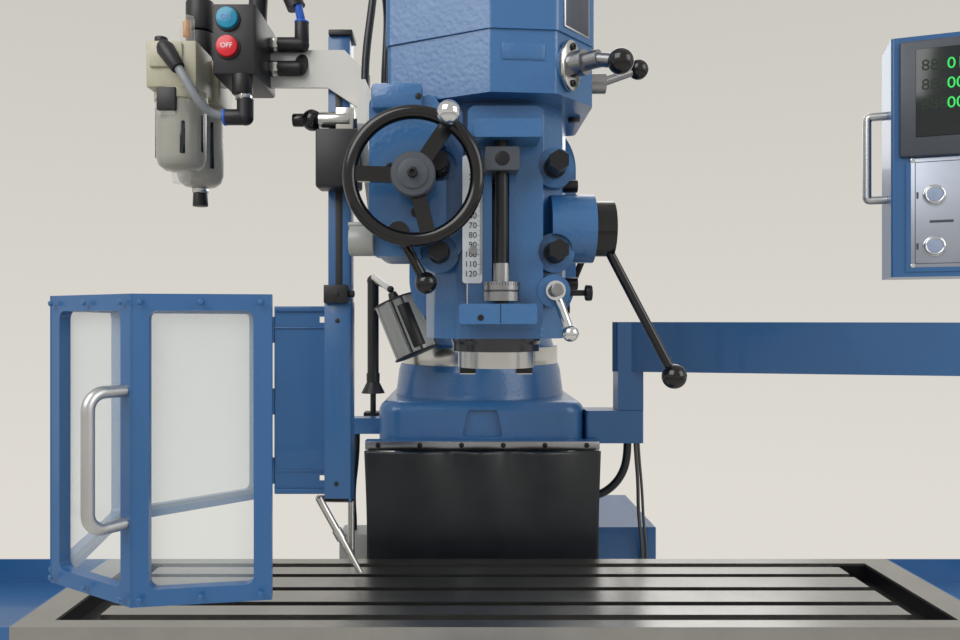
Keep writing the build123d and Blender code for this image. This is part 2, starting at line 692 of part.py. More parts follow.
def turret():
    """Turret: bright ring, body swelling to the dovetail slot that holds the ram."""
    ring = Pos(0, TURRET_AXIS_Y, HEADSTOCK_TOP_Z) * Cylinder(
        RING_RADIUS, RING_HEIGHT, align=(Align.CENTER, Align.CENTER, Align.MIN)
    )
    ring_top = HEADSTOCK_TOP_Z + RING_HEIGHT
    top = RAM_BOTTOM_Z - FACE_GAP
    x = (-TURRET_HALF_WIDTH, TURRET_HALF_WIDTH)
    y = (TURRET_AXIS_Y - TURRET_HALF_LENGTH, TURRET_AXIS_Y + TURRET_HALF_LENGTH)
    flat = make_face(Polyline(*rectangle(x, y), close=True))
    upper = fillet(flat.vertices(), 30)
    body = loft([level(ring_top - 1) * Pos(0, TURRET_AXIS_Y) * Circle(RING_RADIUS - 8), level(top - 75) * upper])
    body += extrude(level(top - 75) * upper, 75)
    body += rod((-TURRET_HALF_WIDTH - 35, 40, PINION_Z), (TURRET_HALF_WIDTH + 35, 40, PINION_Z), 34)
    slot = dovetail(
        RAM_RAIL_ROOT + SLIDE_GAP,
        RAM_RAIL_HALF_WIDTH + SLIDE_GAP,
        -(top + 1),
        -(top - RAM_RAIL_HEIGHT),
    )
    slot_plane = Plane(origin=(0, y[1] + 5, 0), x_dir=(-1, 0, 0), z_dir=(0, -1, 0))
    body = ring + body
    body -= slab(slot, slot_plane, 2 * TURRET_HALF_LENGTH + 10)
    body -= rod((TURRET_HALF_WIDTH - 20, 40, PINION_Z), (TURRET_HALF_WIDTH + 40, 40, PINION_Z), RAM_LEVER_RADIUS + SHAFT_GAP)
    for n in range(4):
        angle = math.radians(45 + 90 * n)
        bolt_x = math.cos(angle) * (RING_RADIUS - 20)
        bolt_y = TURRET_AXIS_Y + math.sin(angle) * (RING_RADIUS - 20)
        bolt = level(ring_top - 1) * Pos(bolt_x, bolt_y) * RegularPolygon(13, 6)
        body += extrude(bolt, 16)
    return body


def ram():
    """Ram on its dovetail, narrowing at the front to the tongue the knuckle nods on."""
    top = RAM_BOTTOM_Z + RAM_HEIGHT
    half = RAM_HALF_WIDTH
    body = block((-half, half), (RAM_FRONT_Y, RAM_REAR_Y), (RAM_BOTTOM_Z, top))
    body = ease(body, Axis.Y, 20)
    body = fillet(body.faces().sort_by(Axis.Y)[-1].edges(), 12)
    foot = dovetail(
        RAM_RAIL_ROOT, RAM_RAIL_HALF_WIDTH, -(RAM_BOTTOM_Z + 1), -(RAM_BOTTOM_Z - RAM_RAIL_HEIGHT)
    )
    foot_plane = Plane(origin=(0, RAM_REAR_Y - 40, 0), x_dir=(-1, 0, 0), z_dir=(0, -1, 0))
    body += slab(foot, foot_plane, RAM_REAR_Y - 40 - RAM_FRONT_Y - 20)
    tongue = block(
        (-TONGUE_HALF_WIDTH, TONGUE_HALF_WIDTH),
        (NOD_AXIS_Y, RAM_FRONT_Y + 1),
        (HEAD_AXIS_Z - TONGUE_RADIUS, HEAD_AXIS_Z + TONGUE_RADIUS),
    )
    start = (-TONGUE_HALF_WIDTH, NOD_AXIS_Y, HEAD_AXIS_Z)
    end = (TONGUE_HALF_WIDTH, NOD_AXIS_Y, HEAD_AXIS_Z)
    tongue += rod(start, end, TONGUE_RADIUS)
    body += tongue
    body -= rod((-50, NOD_AXIS_Y, HEAD_AXIS_Z), (50, NOD_AXIS_Y, HEAD_AXIS_Z), NOD_PIN_RADIUS + SHAFT_GAP)
    return body


def ram_lever():
    """Pinion shaft through the turret's side with its pull handle."""
    inside = TURRET_HALF_WIDTH - 20
    outside = TURRET_HALF_WIDTH + 35
    body = rod((inside, 40, PINION_Z), (outside + 30, 40, PINION_Z), RAM_LEVER_RADIUS)
    body += rod((outside + FACE_GAP, 40, PINION_Z), (outside + 26, 40, PINION_Z), 20)
    tip = (outside + 60, -30, PINION_Z + 130)
    body += rod((outside + 14, 40, PINION_Z), tip, 7)
    return body + ball(tip, 15)


def knuckle():
    """Cheeks on the nod pin and the upright plate the head turns on."""
    plate_face = rectangle(
        (-KNUCKLE_HALF_WIDTH, KNUCKLE_HALF_WIDTH), (KNUCKLE_BOTTOM_Z, KNUCKLE_TOP_Z)
    )
    body = soft_slab(plate_face, upright(KNUCKLE_REAR_Y), KNUCKLE_REAR_Y - KNUCKLE_FRONT_Y, KNUCKLE_CORNER)
    inner = TONGUE_HALF_WIDTH + FACE_GAP
    for side in (-1, 1):
        x = sorted((side * inner, side * CHEEK_HALF_WIDTH))
        z = (HEAD_AXIS_Z - CHEEK_RADIUS, HEAD_AXIS_Z + CHEEK_RADIUS)
        cheek = block(x, (KNUCKLE_REAR_Y - 1, NOD_AXIS_Y), z)
        cheek += rod((x[0], NOD_AXIS_Y, HEAD_AXIS_Z), (x[1], NOD_AXIS_Y, HEAD_AXIS_Z), CHEEK_RADIUS)
        body += cheek
    reach = CHEEK_HALF_WIDTH + 14
    body += rod((-reach, NOD_AXIS_Y, HEAD_AXIS_Z), (reach, NOD_AXIS_Y, HEAD_AXIS_Z), NOD_PIN_RADIUS)
    return body


def head_casting():
    """Quill housing: bored for the quill, with lugs, ears, gearbox seat and rear flange."""
    spindle = (0, SPINDLE_Y)
    half = HEAD_HALF_WIDTH
    outline = [
        (-half, KNUCKLE_FRONT_Y - 30),
        (-half - 12, SPINDLE_Y),
        (-half, HEAD_FRONT_Y + 25),
        (-half + 25, HEAD_FRONT_Y),
        (half - 25, HEAD_FRONT_Y),
        (half, HEAD_FRONT_Y + 25),
        (half + 12, SPINDLE_Y),
        (half, KNUCKLE_FRONT_Y - 30),
    ]
    body = soft_slab(outline, level(HEAD_BOTTOM_Z), HEAD_TOP_Z - HEAD_BOTTOM_Z, 9)
    front_y = KNUCKLE_FRONT_Y - FACE_GAP
    body += rod((0, front_y, HEAD_AXIS_Z), (0, front_y - 34, HEAD_AXIS_Z), FLANGE_RADIUS)
    raised = rectangle((-34, 44), (HEAD_BOTTOM_Z + 12, HEAD_TOP_Z - 8))
    body += soft_slab(raised, upright(HEAD_FRONT_Y + 1), HEAD_FRONT_Y + 1 - PLATE_FRONT_Y, 8)
    body += soft_slab(rectangle((-29, 39), UPPER_LUG_Z), upright(PLATE_FRONT_Y + 1), 42, 3)
    body += soft_slab(rectangle((-43, 34), LOWER_LUG_Z), upright(PLATE_FRONT_Y + 1), 42, 3)
    body += soft_slab(rectangle((-135, -39), (1440, HEAD_TOP_Z - 1)), upright(-745), 85, 14)
    for x, z in CLAMP_SEATS:
        body += rod((x, HEAD_FRONT_Y + 60, z), (x, HEAD_FRONT_Y - 4, z), 21)
    body += rod((half - 15, PINION_Y, PINION_HEAD_Z), (PINION_X - 12, PINION_Y, PINION_HEAD_Z), 37)
    body += rod((LOCK_X, HEAD_FRONT_Y + 40, LOCK_Z), (LOCK_X, HEAD_FRONT_Y - 22, LOCK_Z), 17)
    for x, z in CLAMP_SEATS:
        body -= rod((x, HEAD_FRONT_Y - 4, z), (x, PLATE_FRONT_Y - 10, z), SEAT_RADIUS)
    lock_y = HEAD_FRONT_Y - 22
    body -= rod((LOCK_X, lock_y + 14, LOCK_Z), (LOCK_X, lock_y - 1, LOCK_Z), 5 + SHAFT_GAP)
    bore = QUILL_RADIUS + SHAFT_GAP
    body -= rod((*spindle, HEAD_BOTTOM_Z - 5), (*spindle, HEAD_TOP_Z + 5), bore)
    body -= block((-9, 9), (PLATE_FRONT_Y - 2, SPINDLE_Y), (1400, STOP_BLOCK_Z[1] + 2))
    body -= rod((PINION_X - 40, PINION_Y, PINION_HEAD_Z), (PINION_X, PINION_Y, PINION_HEAD_Z), 11 + SHAFT_GAP)
    for z in (STOP_SCREW_LOW_Z - 20, STOP_SCREW_HIGH_Z - 25):
        body -= rod((0, STOP_SCREW_Y, z), (0, STOP_SCREW_Y, z + 40), STOP_SCREW_RADIUS + SHAFT_GAP)
    return body


def housing_plan(inset):
    """Outline of the drive housings: a blunt prow in front and a bevelled right corner."""
    left = BELT_LEFT_X + inset
    right = BELT_RIGHT_X - inset
    return [
        (left, HOUSING_LEFT_Y + inset),
        (HOUSING_PROW_X, HOUSING_PROW_Y + inset),
        (HOUSING_CORNER_X - inset / 2, HOUSING_CORNER_Y + inset),
        (right, HOUSING_SIDE_Y),
    ]


def soft_outline(points, corner):
    outline = make_face(Polyline(*points, close=True))
    return fillet(outline.vertices(), corner)


def gear_housing():
    """Cast housing of the back gear, with its bevelled corner for the speed lever."""
    right = BELT_RIGHT_X - 2
    rear_y = KNUCKLE_FRONT_Y - 36
    plan = housing_plan(2) + [(right, rear_y), (BELT_LEFT_X + 2, rear_y)]
    body = extrude(level(HEAD_TOP_Z) * soft_outline(plan, 7), GEAR_TOP_Z - HEAD_TOP_Z)
    body += rod((right - 20, BRAKE_Y, BRAKE_Z), (right, BRAKE_Y, BRAKE_Z), 14)
    body -= rod((right - 40, BRAKE_Y, BRAKE_Z), (right + 2, BRAKE_Y, BRAKE_Z), 6 + SHAFT_GAP)
    seat = Vector(*SHIFT_SEAT)
    out = Vector(*SHIFT_AXIS)
    body += rod(tuple(seat - out * 12), tuple(seat), 20)
    body -= rod(tuple(seat - out * 30), tuple(seat + out * 6), 9 + SHAFT_GAP)
    spindle_bore = rod((0, SPINDLE_Y, HEAD_TOP_Z - 1), (0, SPINDLE_Y, GEAR_TOP_Z + 1), SPINDLE_RADIUS + 4)
    return body - spindle_bore


def belt_housing():
    """Deep housing of the variable-speed belt drive, tapering a little to its top."""
    rear = [(BELT_RIGHT_X, BELT_REAR_Y), (BELT_LEFT_X, BELT_REAR_Y)]
    low = soft_outline(housing_plan(0) + rear, 9)
    inset = 12
    rear = [(BELT_RIGHT_X - inset, BELT_REAR_Y - inset), (BELT_LEFT_X + inset, BELT_REAR_Y - inset)]
    high = soft_outline(housing_plan(inset) + rear, 9)
    body = extrude(level(GEAR_TOP_Z) * low, 80)
    body += loft([level(GEAR_TOP_Z + 80) * low, level(BELT_TOP_Z - 12) * high])
    body += extrude(level(BELT_TOP_Z - 12) * high, 12)
    return body - rod(
        (0, SPINDLE_Y, GEAR_TOP_Z - 1), (0, SPINDLE_Y, BELT_TOP_Z - 40), SPINDLE_RADIUS + 4
    )


def motor():
    """Upright flange motor with cooling ribs, fan cowl and terminal box."""
    x = (BELT_LEFT_X + BELT_RIGHT_X) / 2
    y = (BELT_FRONT_Y + BELT_REAR_Y) / 2
    base = BELT_TOP_Z
    step = (MOTOR_TOP_Z - base) / 27
    low, high = base + 2 * step, MOTOR_TOP_Z - 6.2 * step
    body = drum(
        [
            (0, base),
            (MOTOR_RADIUS, base),
            (MOTOR_RADIUS, base + 1.4 * step),
            (MOTOR_RADIUS - 14, low),
            (MOTOR_RADIUS - 14, high),
            (MOTOR_RADIUS - 6, MOTOR_TOP_Z - 6 * step),
            (MOTOR_RADIUS - 6, MOTOR_TOP_Z - 1.2 * step),
            (MOTOR_RADIUS - 22, MOTOR_TOP_Z),
            (0, MOTOR_TOP_Z),
        ],
        (x, y, 0),
        (0, 0, 1),
    )
    for n in range(24):
        rib = Rot(0, 0, n * 15) * Pos(MOTOR_RADIUS - 12, 0, 0) * Box(14, 3, high - low - 0.2 * step)
        body += Pos(x, y, (low + high) / 2) * rib
    body += block((x + 60, x + 122), (y - 45, y + 45), (base + 6 * step, base + 15 * step))
    return body


def clamp_bolts():
    """Four long hexagon bolts that clamp the head."""
    bolts = []
    for x, z in CLAMP_SEATS:
        seat = HEAD_FRONT_Y - 4
        bolt = rod((x, seat, z), (x, seat - 6, z), 11.5)
        hexagon = Plane(origin=(x, seat - 6, z), z_dir=(0, -1, 0)) * RegularPolygon(11, 6)
        bolt += extrude(hexagon, 34)
        bolts.append(bolt)
    return Compound(children=bolts)


def quill():
    """Sleeve that slides in the head and holds the spindle."""
    axis_at = (0, SPINDLE_Y, 0)
    bore = SPINDLE_RADIUS + SHAFT_GAP
    body = drum(
        [
            (bore, QUILL_BOTTOM_Z),
            (NOSE_RING_RADIUS, QUILL_BOTTOM_Z),
            (NOSE_RING_RADIUS, HEAD_BOTTOM_Z - 8),
            (QUILL_RADIUS, HEAD_BOTTOM_Z - 4),
            (QUILL_RADIUS, QUILL_TOP_Z),
            (bore, QUILL_TOP_Z),
        ],
        axis_at,
        (0, 0, 1),
    )
    return body


def spindle():
    """Spindle with its flanged nose, drive keys, tool taper and drawbar bore."""
    top = BELT_TOP_Z - 60
    body = drum(
        [
            (8.5, NOSE_Z + TAPER_LENGTH),
            (TAPER_MOUTH_RADIUS - 0.146 * TAPER_LENGTH, NOSE_Z + TAPER_LENGTH),
            (TAPER_MOUTH_RADIUS, NOSE_Z),
            (NOSE_RADIUS, NOSE_Z),
            (NOSE_RADIUS, QUILL_BOTTOM_Z - FACE_GAP),
            (SPINDLE_RADIUS, QUILL_BOTTOM_Z - FACE_GAP),
            (SPINDLE_RADIUS, top),
            (8.5, top),
        ],
        (0, SPINDLE_Y, 0),
        (0, 0, 1),
    )
    for side in (-1, 1):
        x = sorted((side * 24, side * 42))
        key = block(x, (SPINDLE_Y - 7.9, SPINDLE_Y + 7.9), (NOSE_Z - KEY_HEIGHT, NOSE_Z + 1))
        body += key
    return body


def stop_block():
    """Block on the quill that rides along the stop screw."""
    low, high = STOP_BLOCK_Z
    body = soft_slab(rectangle((-17, 17), STOP_BLOCK_Z), upright(STOP_SCREW_Y + 14), 28, 2)
    tongue = (STOP_SCREW_Y + 13, SPINDLE_Y - QUILL_RADIUS - SHAFT_GAP)
    body += block((-8.5, 8.5), tongue, (low + 2, high - 2))
    return body - rod(
        (0, STOP_SCREW_Y, low - 5), (0, STOP_SCREW_Y, high + 5), STOP_SCREW_RADIUS + SHAFT_GAP
    )


def stop_screw():
    """Micrometer depth stop screw held in the two lugs of the head."""
    low, high = STOP_SCREW_LOW_Z - 15, STOP_SCREW_HIGH_Z - 5
    return rod((0, STOP_SCREW_Y, low), (0, STOP_SCREW_Y, high), STOP_SCREW_RADIUS)


def micrometer_nut():
    """Graduated depth nut and its lock collar on the stop screw."""
    low = STOP_SCREW_LOW_Z - 1
    bore = STOP_SCREW_RADIUS + SHAFT_GAP
    return drum(
        [
            (bore, low),
            (18.5, low),
            (18.5, low + 9),
            (17.5, low + 10),
            (18.5, low + 11),
            (18.5, low + 19),
            (8.5, low + 20),
            (8.5, low + 38),
            (bore, low + 38),
        ],
        (0, STOP_SCREW_Y, 0),
        (0, 0, 1),
    )


def quill_scale():
    """Plate with the quill depth scale."""
    outline = rectangle((-39.5, -19), (1413, 1545))
    return soft_slab(outline, upright(PLATE_FRONT_Y), 1.6, 3)


def side_lever(seat, tip, shaft, arm, knob):
    """Lever on a cross shaft that runs into the casting on its left."""
    x, y, z = seat
    body = rod((x - 22, y, z), (x + 16, y, z), shaft)
    body += rod((x + FACE_GAP, y, z), (x + 18, y, z), shaft + 5)
    body += rod((x + 10, y, z), tip, arm)
    return body + ball(tip, knob)


def quill_lever():
    """Drilling lever: hub on the pinion shaft and a long ball-ended arm."""
    x, y, z = PINION_X, PINION_Y, PINION_HEAD_Z
    body = rod((x - 38, y, z), (x + 12, y, z), 11)
    body += rod((x - 12 + FACE_GAP, y, z), (x + 10, y, z), 30)
    start = (x, y - 4, z - 14)
    tip = (182, y - 34, z - 158)
    body += rod(start, tip, 5)
    return body + ball(tip, 13)


def hi_lo_lever():
    """Speed-range lever on the bevelled corner of the gear housing."""
    seat = Vector(*SHIFT_SEAT)
    out = Vector(*SHIFT_AXIS)
    body = rod(tuple(seat - out * 22), tuple(seat + out * 36), 9)
    body += rod(tuple(seat + out * FACE_GAP), tuple(seat + out * 20), 13)
    tip = seat + out * 60 - Vector(0, 0, 8)
    body += rod(tuple(seat + out * 32), tuple(tip), 7)
    return body + ball(tuple(tip), 12.5)


def brake_lever():
    """Spindle brake lever on the right side of the gear housing."""
    seat = (BELT_RIGHT_X - 2, BRAKE_Y, BRAKE_Z)
    return side_lever(seat, (158, BRAKE_Y + 10, BRAKE_Z + 19), 6, 5, 11)


def quill_lock():
    """Ball-ended clamp lever of the quill on its cast lobe."""
    x, z = LOCK_X, LOCK_Z
    y = HEAD_FRONT_Y - 22
    body = rod((x, y + 12, z), (x, y - 16, z), 5)
    body += rod((x, y - FACE_GAP, z), (x, y - 16, z), 10)
    tip = (x + 14.5, y - 18, z - 43.5)
    body += rod((x, y - 8, z), tip, 5)
    return body + ball(tip, 8.5)


def feed_trip_lever():
    """Lever under the handwheel that trips the feed."""
    y = FEED_BOX_FRONT_Y
    body = rod((-103, y + 10, 1462), (-103, y - 24, 1462), 6)
    body += rod((-103, y - FACE_GAP, 1462), (-103, y - 24, 1462), 11)
    tip = (-76, y - 18, 1412)
    body += rod((-103, y - 16, 1462), tip, 5)
    return body + ball(tip, 11)


def feed_box():
    """Feed gearbox cover on the left of the head, with the handwheel boss."""
    top = HEAD_TOP_Z - 1
    outline = [(-135, 1440), (-70, 1440), (-56, 1454), (-56, top - 18), (-68, top), (-135, top)]
    body = soft_slab(outline, upright(-830), -830 - FEED_BOX_FRONT_Y, 9)
    for x, z in CLAMP_SEATS:
        body -= rod((x, -829, z), (x, FEED_BOX_FRONT_Y - 1, z), SEAT_RADIUS)
    body += rod((WHEEL_X, FEED_BOX_FRONT_Y + 1, WHEEL_Z), (WHEEL_X, FEED_BOX_FRONT_Y - 18, WHEEL_Z), 17)
    body -= rod(
        (WHEEL_X, -829, WHEEL_Z), (WHEEL_X, FEED_BOX_FRONT_Y - 20, WHEEL_Z), 8 + SHAFT_GAP
    )
    return body - rod((-103, -829, 1462), (-103, FEED_BOX_FRONT_Y - 5, 1462), 6 + SHAFT_GAP)


def feed_handwheel():
    """Fine feed handwheel with its dished spokes and turned ball handle."""
    front = FEED_BOX_FRONT_Y - 18
    centre = (WHEEL_X, WHEEL_Y, WHEEL_Z)
    facing = Plane(origin=centre, x_dir=(1, 0, 0), z_dir=(0, -1, 0))
    body = facing * Torus(FEED_WHEEL_RADIUS, FEED_RIM_RADIUS)
    body += rod((WHEEL_X, front - FACE_GAP, WHEEL_Z), (WHEEL_X, WHEEL_Y - 10, WHEEL_Z), 21)
    body += rod((WHEEL_X, FEED_BOX_FRONT_Y + 20, WHEEL_Z), (WHEEL_X, WHEEL_Y - 14, WHEEL_Z), 8)
    for angle in (56, 178, 284):
        spoke = Rot(0, 0, angle) * Pos(38, 0, 0) * Box(44, 15, 7)
        body += facing * spoke
    handle = Vector(math.cos(math.radians(56)), 0, math.sin(math.radians(56)))
    at = Vector(*centre) + handle * FEED_WHEEL_RADIUS
    grip = [(0, 0), (6, 0), (6, 10), (4.5, 16), (4.5, 26), (7, 30), (0, 30)]
    body += drum(grip, tuple(at), (0, -1, 0))
    return body + ball((at.X, at.Y - 38, at.Z), 11)


def cabinet():
    """Electrical cabinet body, open on the door side."""
    x, y, z = CABINET_X, CABINET_Y, CABINET_Z
    body = block(x, y, z)
    wall = CABINET_WALL
    return body - block((x[0] + wall, x[1] + 1), (y[0] + wall, y[1] - wall), (z[0] + wall, z[1] - wall))


def cabinet_door():
    """Cabinet door with a turned-in rim and a round lock."""
    x = CABINET_X[1] + FACE_GAP
    body = block((x, x + DOOR_THICKNESS), CABINET_Y, CABINET_Z)
    body = fillet(body.faces().sort_by(Axis.X)[-1].edges(), 3)
    lock_at = (CABINET_Y[0] + 22, (CABINET_Z[0] + CABINET_Z[1]) / 2)
    start = (x + DOOR_THICKNESS - 1, *lock_at)
    body += rod(start, (x + DOOR_THICKNESS + 8, *lock_at), 13)
    hinge_x, hinge_y = x + 8.7, CABINET_Y[1] + 8
    for low in (CABINET_Z[0] + 60, CABINET_Z[1] - 120):
        body += rod((hinge_x, hinge_y, low), (hinge_x, hinge_y, low + 60), 7)
        body += block((x, hinge_x), (CABINET_Y[1] - 2, hinge_y), (low, low + 60))
    return body


def lamp_base():
    """Side bracket, stem and cone foot of the lamp."""
    side = -LOWER_TIER_HALF_WIDTH
    body = block((LAMP_X - 18, side), (LAMP_Y - 18, LAMP_Y + 18), (1160, 1180))
    body += rod((LAMP_X, LAMP_Y, 1170), (LAMP_X, LAMP_Y, 1222), 6)
    body += rod((LAMP_X, LAMP_Y, 1220), (LAMP_X, LAMP_Y, LAMP_SEAT_Z), 25, 13)
    return body


def lamp_arm():
    """Upright lamp tube on its swivel and the thin rod that reaches to the lamp head."""
    elbow = (LAMP_X, LAMP_Y, LAMP_ELBOW_Z)
    body = rod((LAMP_X, LAMP_Y, LAMP_SEAT_Z + FACE_GAP), (LAMP_X, LAMP_Y, LAMP_SEAT_Z + 18), 14)
    body += rod((LAMP_X, LAMP_Y, LAMP_SEAT_Z + 17), elbow, 12)
    body += ball(elbow, 13)
    top = Vector(*LAMP_HEAD_TOP)
    low = Vector(*LAMP_HEAD_LOW)
    back = top + (top - low).normalized() * 26
    body += rod(elbow, tuple(back), 4)
    return body + ball(tuple(back), 7)


def lamp_head():
    """Ribbed round lamp shade, open at its lower end."""
    top = Vector(*LAMP_HEAD_TOP)
    low = Vector(*LAMP_HEAD_LOW)
    along = (low - top).normalized()
    length = (low - top).length
    r = LAMP_HEAD_RADIUS
    outline = [(0, -19), (10, -19), (14, 0), (r - 8, 0), (r, 8)]
    for n in range(5):
        d = 16 + n * 13
        outline += [(r, d), (r - 3, d + 1), (r - 3, d + 5), (r, d + 6)]
    outline += [(r, length), (r - 3, length), (r - 3, length - 20), (0, length - 20)]
    return drum(outline, tuple(top), tuple(along))


def arm_frame():
    """Plane standing along the readout arm: local X along the arm, local Y up."""
    run = Vector(ARM_END[0] - ARM_PIVOT[0], ARM_END[1] - ARM_PIVOT[1], 0)
    across = run.cross(Vector(0, 0, 1)).normalized()
    return Plane(origin=(*ARM_PIVOT, 0), x_dir=run, z_dir=across), run.length


def dro_bracket():
    """Foot on the column head with the pin the readout arm turns on."""
    x, y = ARM_PIVOT
    body = block((LOWER_TIER_HALF_WIDTH, x + POST_HALF), (y - 30, y + 30), (BRACKET_LOW_Z, BRACKET_TOP_Z))
    body = ease(body, Axis.Z, 6)
    return body + rod((x, y, BRACKET_TOP_Z - 1), (x, y, BRACKET_TOP_Z + 60), 12)


def dro_arm():
    """Square upright and deep tapered beam that carry the readout box."""
    x, y = ARM_PIVOT
    low = BRACKET_TOP_Z + FACE_GAP
    post = block((x - POST_HALF, x + POST_HALF), (y - POST_HALF, y + POST_HALF), (low, ARM_TOP_Z))
    post -= rod((x, y, low - 1), (x, y, BRACKET_TOP_Z + 62), 12 + SHAFT_GAP)
    plane, length = arm_frame()
    side = [
        (-POST_HALF, ARM_LOW_Z - 18),
        (length + 30, ARM_LOW_Z),
        (length + 30, ARM_TOP_Z),
        (-POST_HALF, ARM_TOP_Z),
    ]
    beam = slab(side, plane, ARM_THICKNESS / 2) + slab(side, plane, -ARM_THICKNESS / 2)
    body = post + beam
    return body + rod((*ARM_END, ARM_TOP_Z - 1), (*ARM_END, BOX_LOW_Z - 8), 18)


def box_place():
    return Location((*BOX_CENTRE, BOX_LOW_Z), (0, 0, BOX_TURN))


def dro_box():
    """Readout and control box with its display bezel, lower panel and bow handle."""
    w, d, h = BOX_WIDTH, BOX_DEPTH, BOX_HEIGHT
    body = block((-w / 2, w / 2), (-d / 2, d / 2), (0, h))
    body = ease(body, Axis.Z, 4)
    bezel = block((-w / 2 + 12, w / 2 - 12), (-d / 2 - 7, -d / 2 + 1), (h - 186, h - 8))
    bezel = ease(bezel, Axis.Y, 8)
    screen = block((-w / 2 + 28, w / 2 - 28), (-d / 2 - 8, -d / 2 - 4), (h - 168, h - 26))
    panel = block((-w / 2 + 20, w / 2 - 20), (-d / 2 - 2, -d / 2 + 1), (8, h - 196))
    body = body + bezel - screen + panel
    handle = [(-w / 2 + 1, 0, 128), (-w / 2 - 28, 0, 128), (-w / 2 - 28, 0, 264), (-w / 2 + 1, 0, 264)]
    route = FilletPolyline(*handle, radius=12)
    body += sweep(Plane(origin=route @ 0, z_dir=route % 0) * Circle(5), path=route)
    for x, z in KNOB_SEATS:
        body -= rod((x, -d / 2 - 5, z), (x, -d / 2 + 12, z), 4 + SHAFT_GAP)
    collar = rod((*ARM_END, BOX_LOW_Z - 8 + FACE_GAP), (*ARM_END, BOX_LOW_Z + 1), 24)
    return box_place() * body + collar


def control_knob(seat):
    """Round fluted control knob on its short shaft."""
    x, z = seat
    front = -BOX_DEPTH / 2 - 2
    body = drum(
        [(0, -13), (4, -13), (4, FACE_GAP), (13, FACE_GAP), (13, 3), (11, 5), (10.5, 18), (9, 20), (0, 20)],
        (x, front, z),
        (0, -1, 0),
    )
    return box_place() * body


def upper_knob():
    return control_knob(KNOB_SEATS[0])


def lower_knob():
    return control_knob(KNOB_SEATS[1])


def accessory_bracket():
    """Angle arm bolted to the ram's side that carries the guard rail and the air unit."""
    side = -RAM_HALF_WIDTH
    top = RAM_BOTTOM_Z + RAM_HEIGHT
    body = block((side - 10, side), (RAM_FRONT_Y + 8, RAM_FRONT_Y + 98), (RAM_BOTTOM_Z + 25, top - 25))
    body += block((-189, side - 9), (RAM_FRONT_Y + 8, RAM_FRONT_Y + 22), (RAM_BOTTOM_Z + 40, top - 40))
    wing = [(-542, 1718), (-470, 1718), (-386, 1640), (-386, 1548), (-412, 1548), (-542, 1655)]
    body += slab(wing, sideways(-189), 12)
    arm = [(AIR_ARM_X, 1722), (-240, 1722), (-177, 1680), (-177, 1740), (-215, 1778), (AIR_ARM_X, 1778)]
    body += slab(arm, upright(AIR_ARM_Y), 6)
    return body


def guard_rail():
    """Square upright rail with a slotted face, its clamp shaft, cap and switch box."""
    x, y, z = RAIL_X, RAIL_Y, RAIL_Z
    body = block(x, y, z)
    middle = (x[0] + x[1]) / 2
    body -= block((middle - 5, middle + 5), (y[0] - 1, y[0] + 6), (z[0] + 15, z[1] - 30))
    body += block((x[0] - 4, x[1] + 4), (y[0] - 4, y[1] + 4), (z[1], z[1] + 8))
    body += block((x[1], -189), (y[0] + 6, y[1] - 6), (1640, 1680))
    body += rod((x[0] - 30, y[0] - 14, 1672), (-200, y[0] - 14, 1672), 9)
    body += block((x[0], x[0] + 50), (y[0] - 22, y[0] + 1), (1655, 1688))
    return Compound(children=[body, switch_box()])


def switch_box():
    """Guard switch box beside the rail."""
    front = RAIL_Y[0]
    body = block((RAIL_X[0] + 4, -190), (front - 40, front), (1574, 1640))
    return ease(body, Axis.Y, 5)


def rail_knob():
    """Star knob that clamps the guard rail."""
    start = (RAIL_X[0] - 30, RAIL_Y[0] - 14, 1672)
    body = rod(start, (start[0] - 24, start[1], start[2]), 11)
    facing = Plane(origin=(start[0] - 8, start[1], start[2]), z_dir=(-1, 0, 0))
    for n in range(6):
        body += facing * Rot(0, 0, n * 60) * Pos(11, 0, 0) * Cylinder(5, 16)
    return body


def guard_plate():
    """Sliding plate that grips the rail and carries the guard's hinge."""
    x = (HINGE_X + 9, RAIL_X[0] - FACE_GAP)
    y = (-459.0, -456.0)
    body = block(x, y, (GUARD_LOW_Z, 1395))
    grip = block((RAIL_X[0] - 10, RAIL_X[1] + 6), (RAIL_Y[0] - 10, RAIL_Y[1] + 8), (1388, 1412))
    inner = block(
        (RAIL_X[0] - FACE_GAP, RAIL_X[1] + FACE_GAP),
        (RAIL_Y[0] - FACE_GAP, RAIL_Y[1] + FACE_GAP),
        (1380, 1420),
    )
    low_grip = Pos(0, 0, -270) * (grip - inner)
    body += grip - inner + low_grip
    for z in (GUARD_LOW_Z + 40, 1395 - 40):
        body -= block((-312, -292), (y[0] - 1, y[1] + 1), (z - 4, z + 4))
    for z in (GUARD_LOW_Z + 15, 1230, 1395 - 55):
        body += rod((HINGE_X, HINGE_Y, z), (HINGE_X, HINGE_Y, z + 40), 7)
        body += block((HINGE_X, x[0] + 1), (-459, -456), (z, z + 40))
    return body - rod((HINGE_X, HINGE_Y, 1000), (HINGE_X, HINGE_Y, 1500), 3 + SHAFT_GAP)


def guard_panels():
    """Corner points of each panel of the guard, free edge first."""
    return list(zip(GUARD_PLAN, GUARD_PLAN[1:]))


def panel_frame(a, b):
    """Plane of one guard panel: local X along it, local Y up, thickness inwards."""
    run = Vector(b[0] - a[0], b[1] - a[1], 0)
    inward = Vector(0, 0, 1).cross(run).normalized() * -1
    return Plane(origin=(*a, 0), x_dir=run, z_dir=inward), run.length


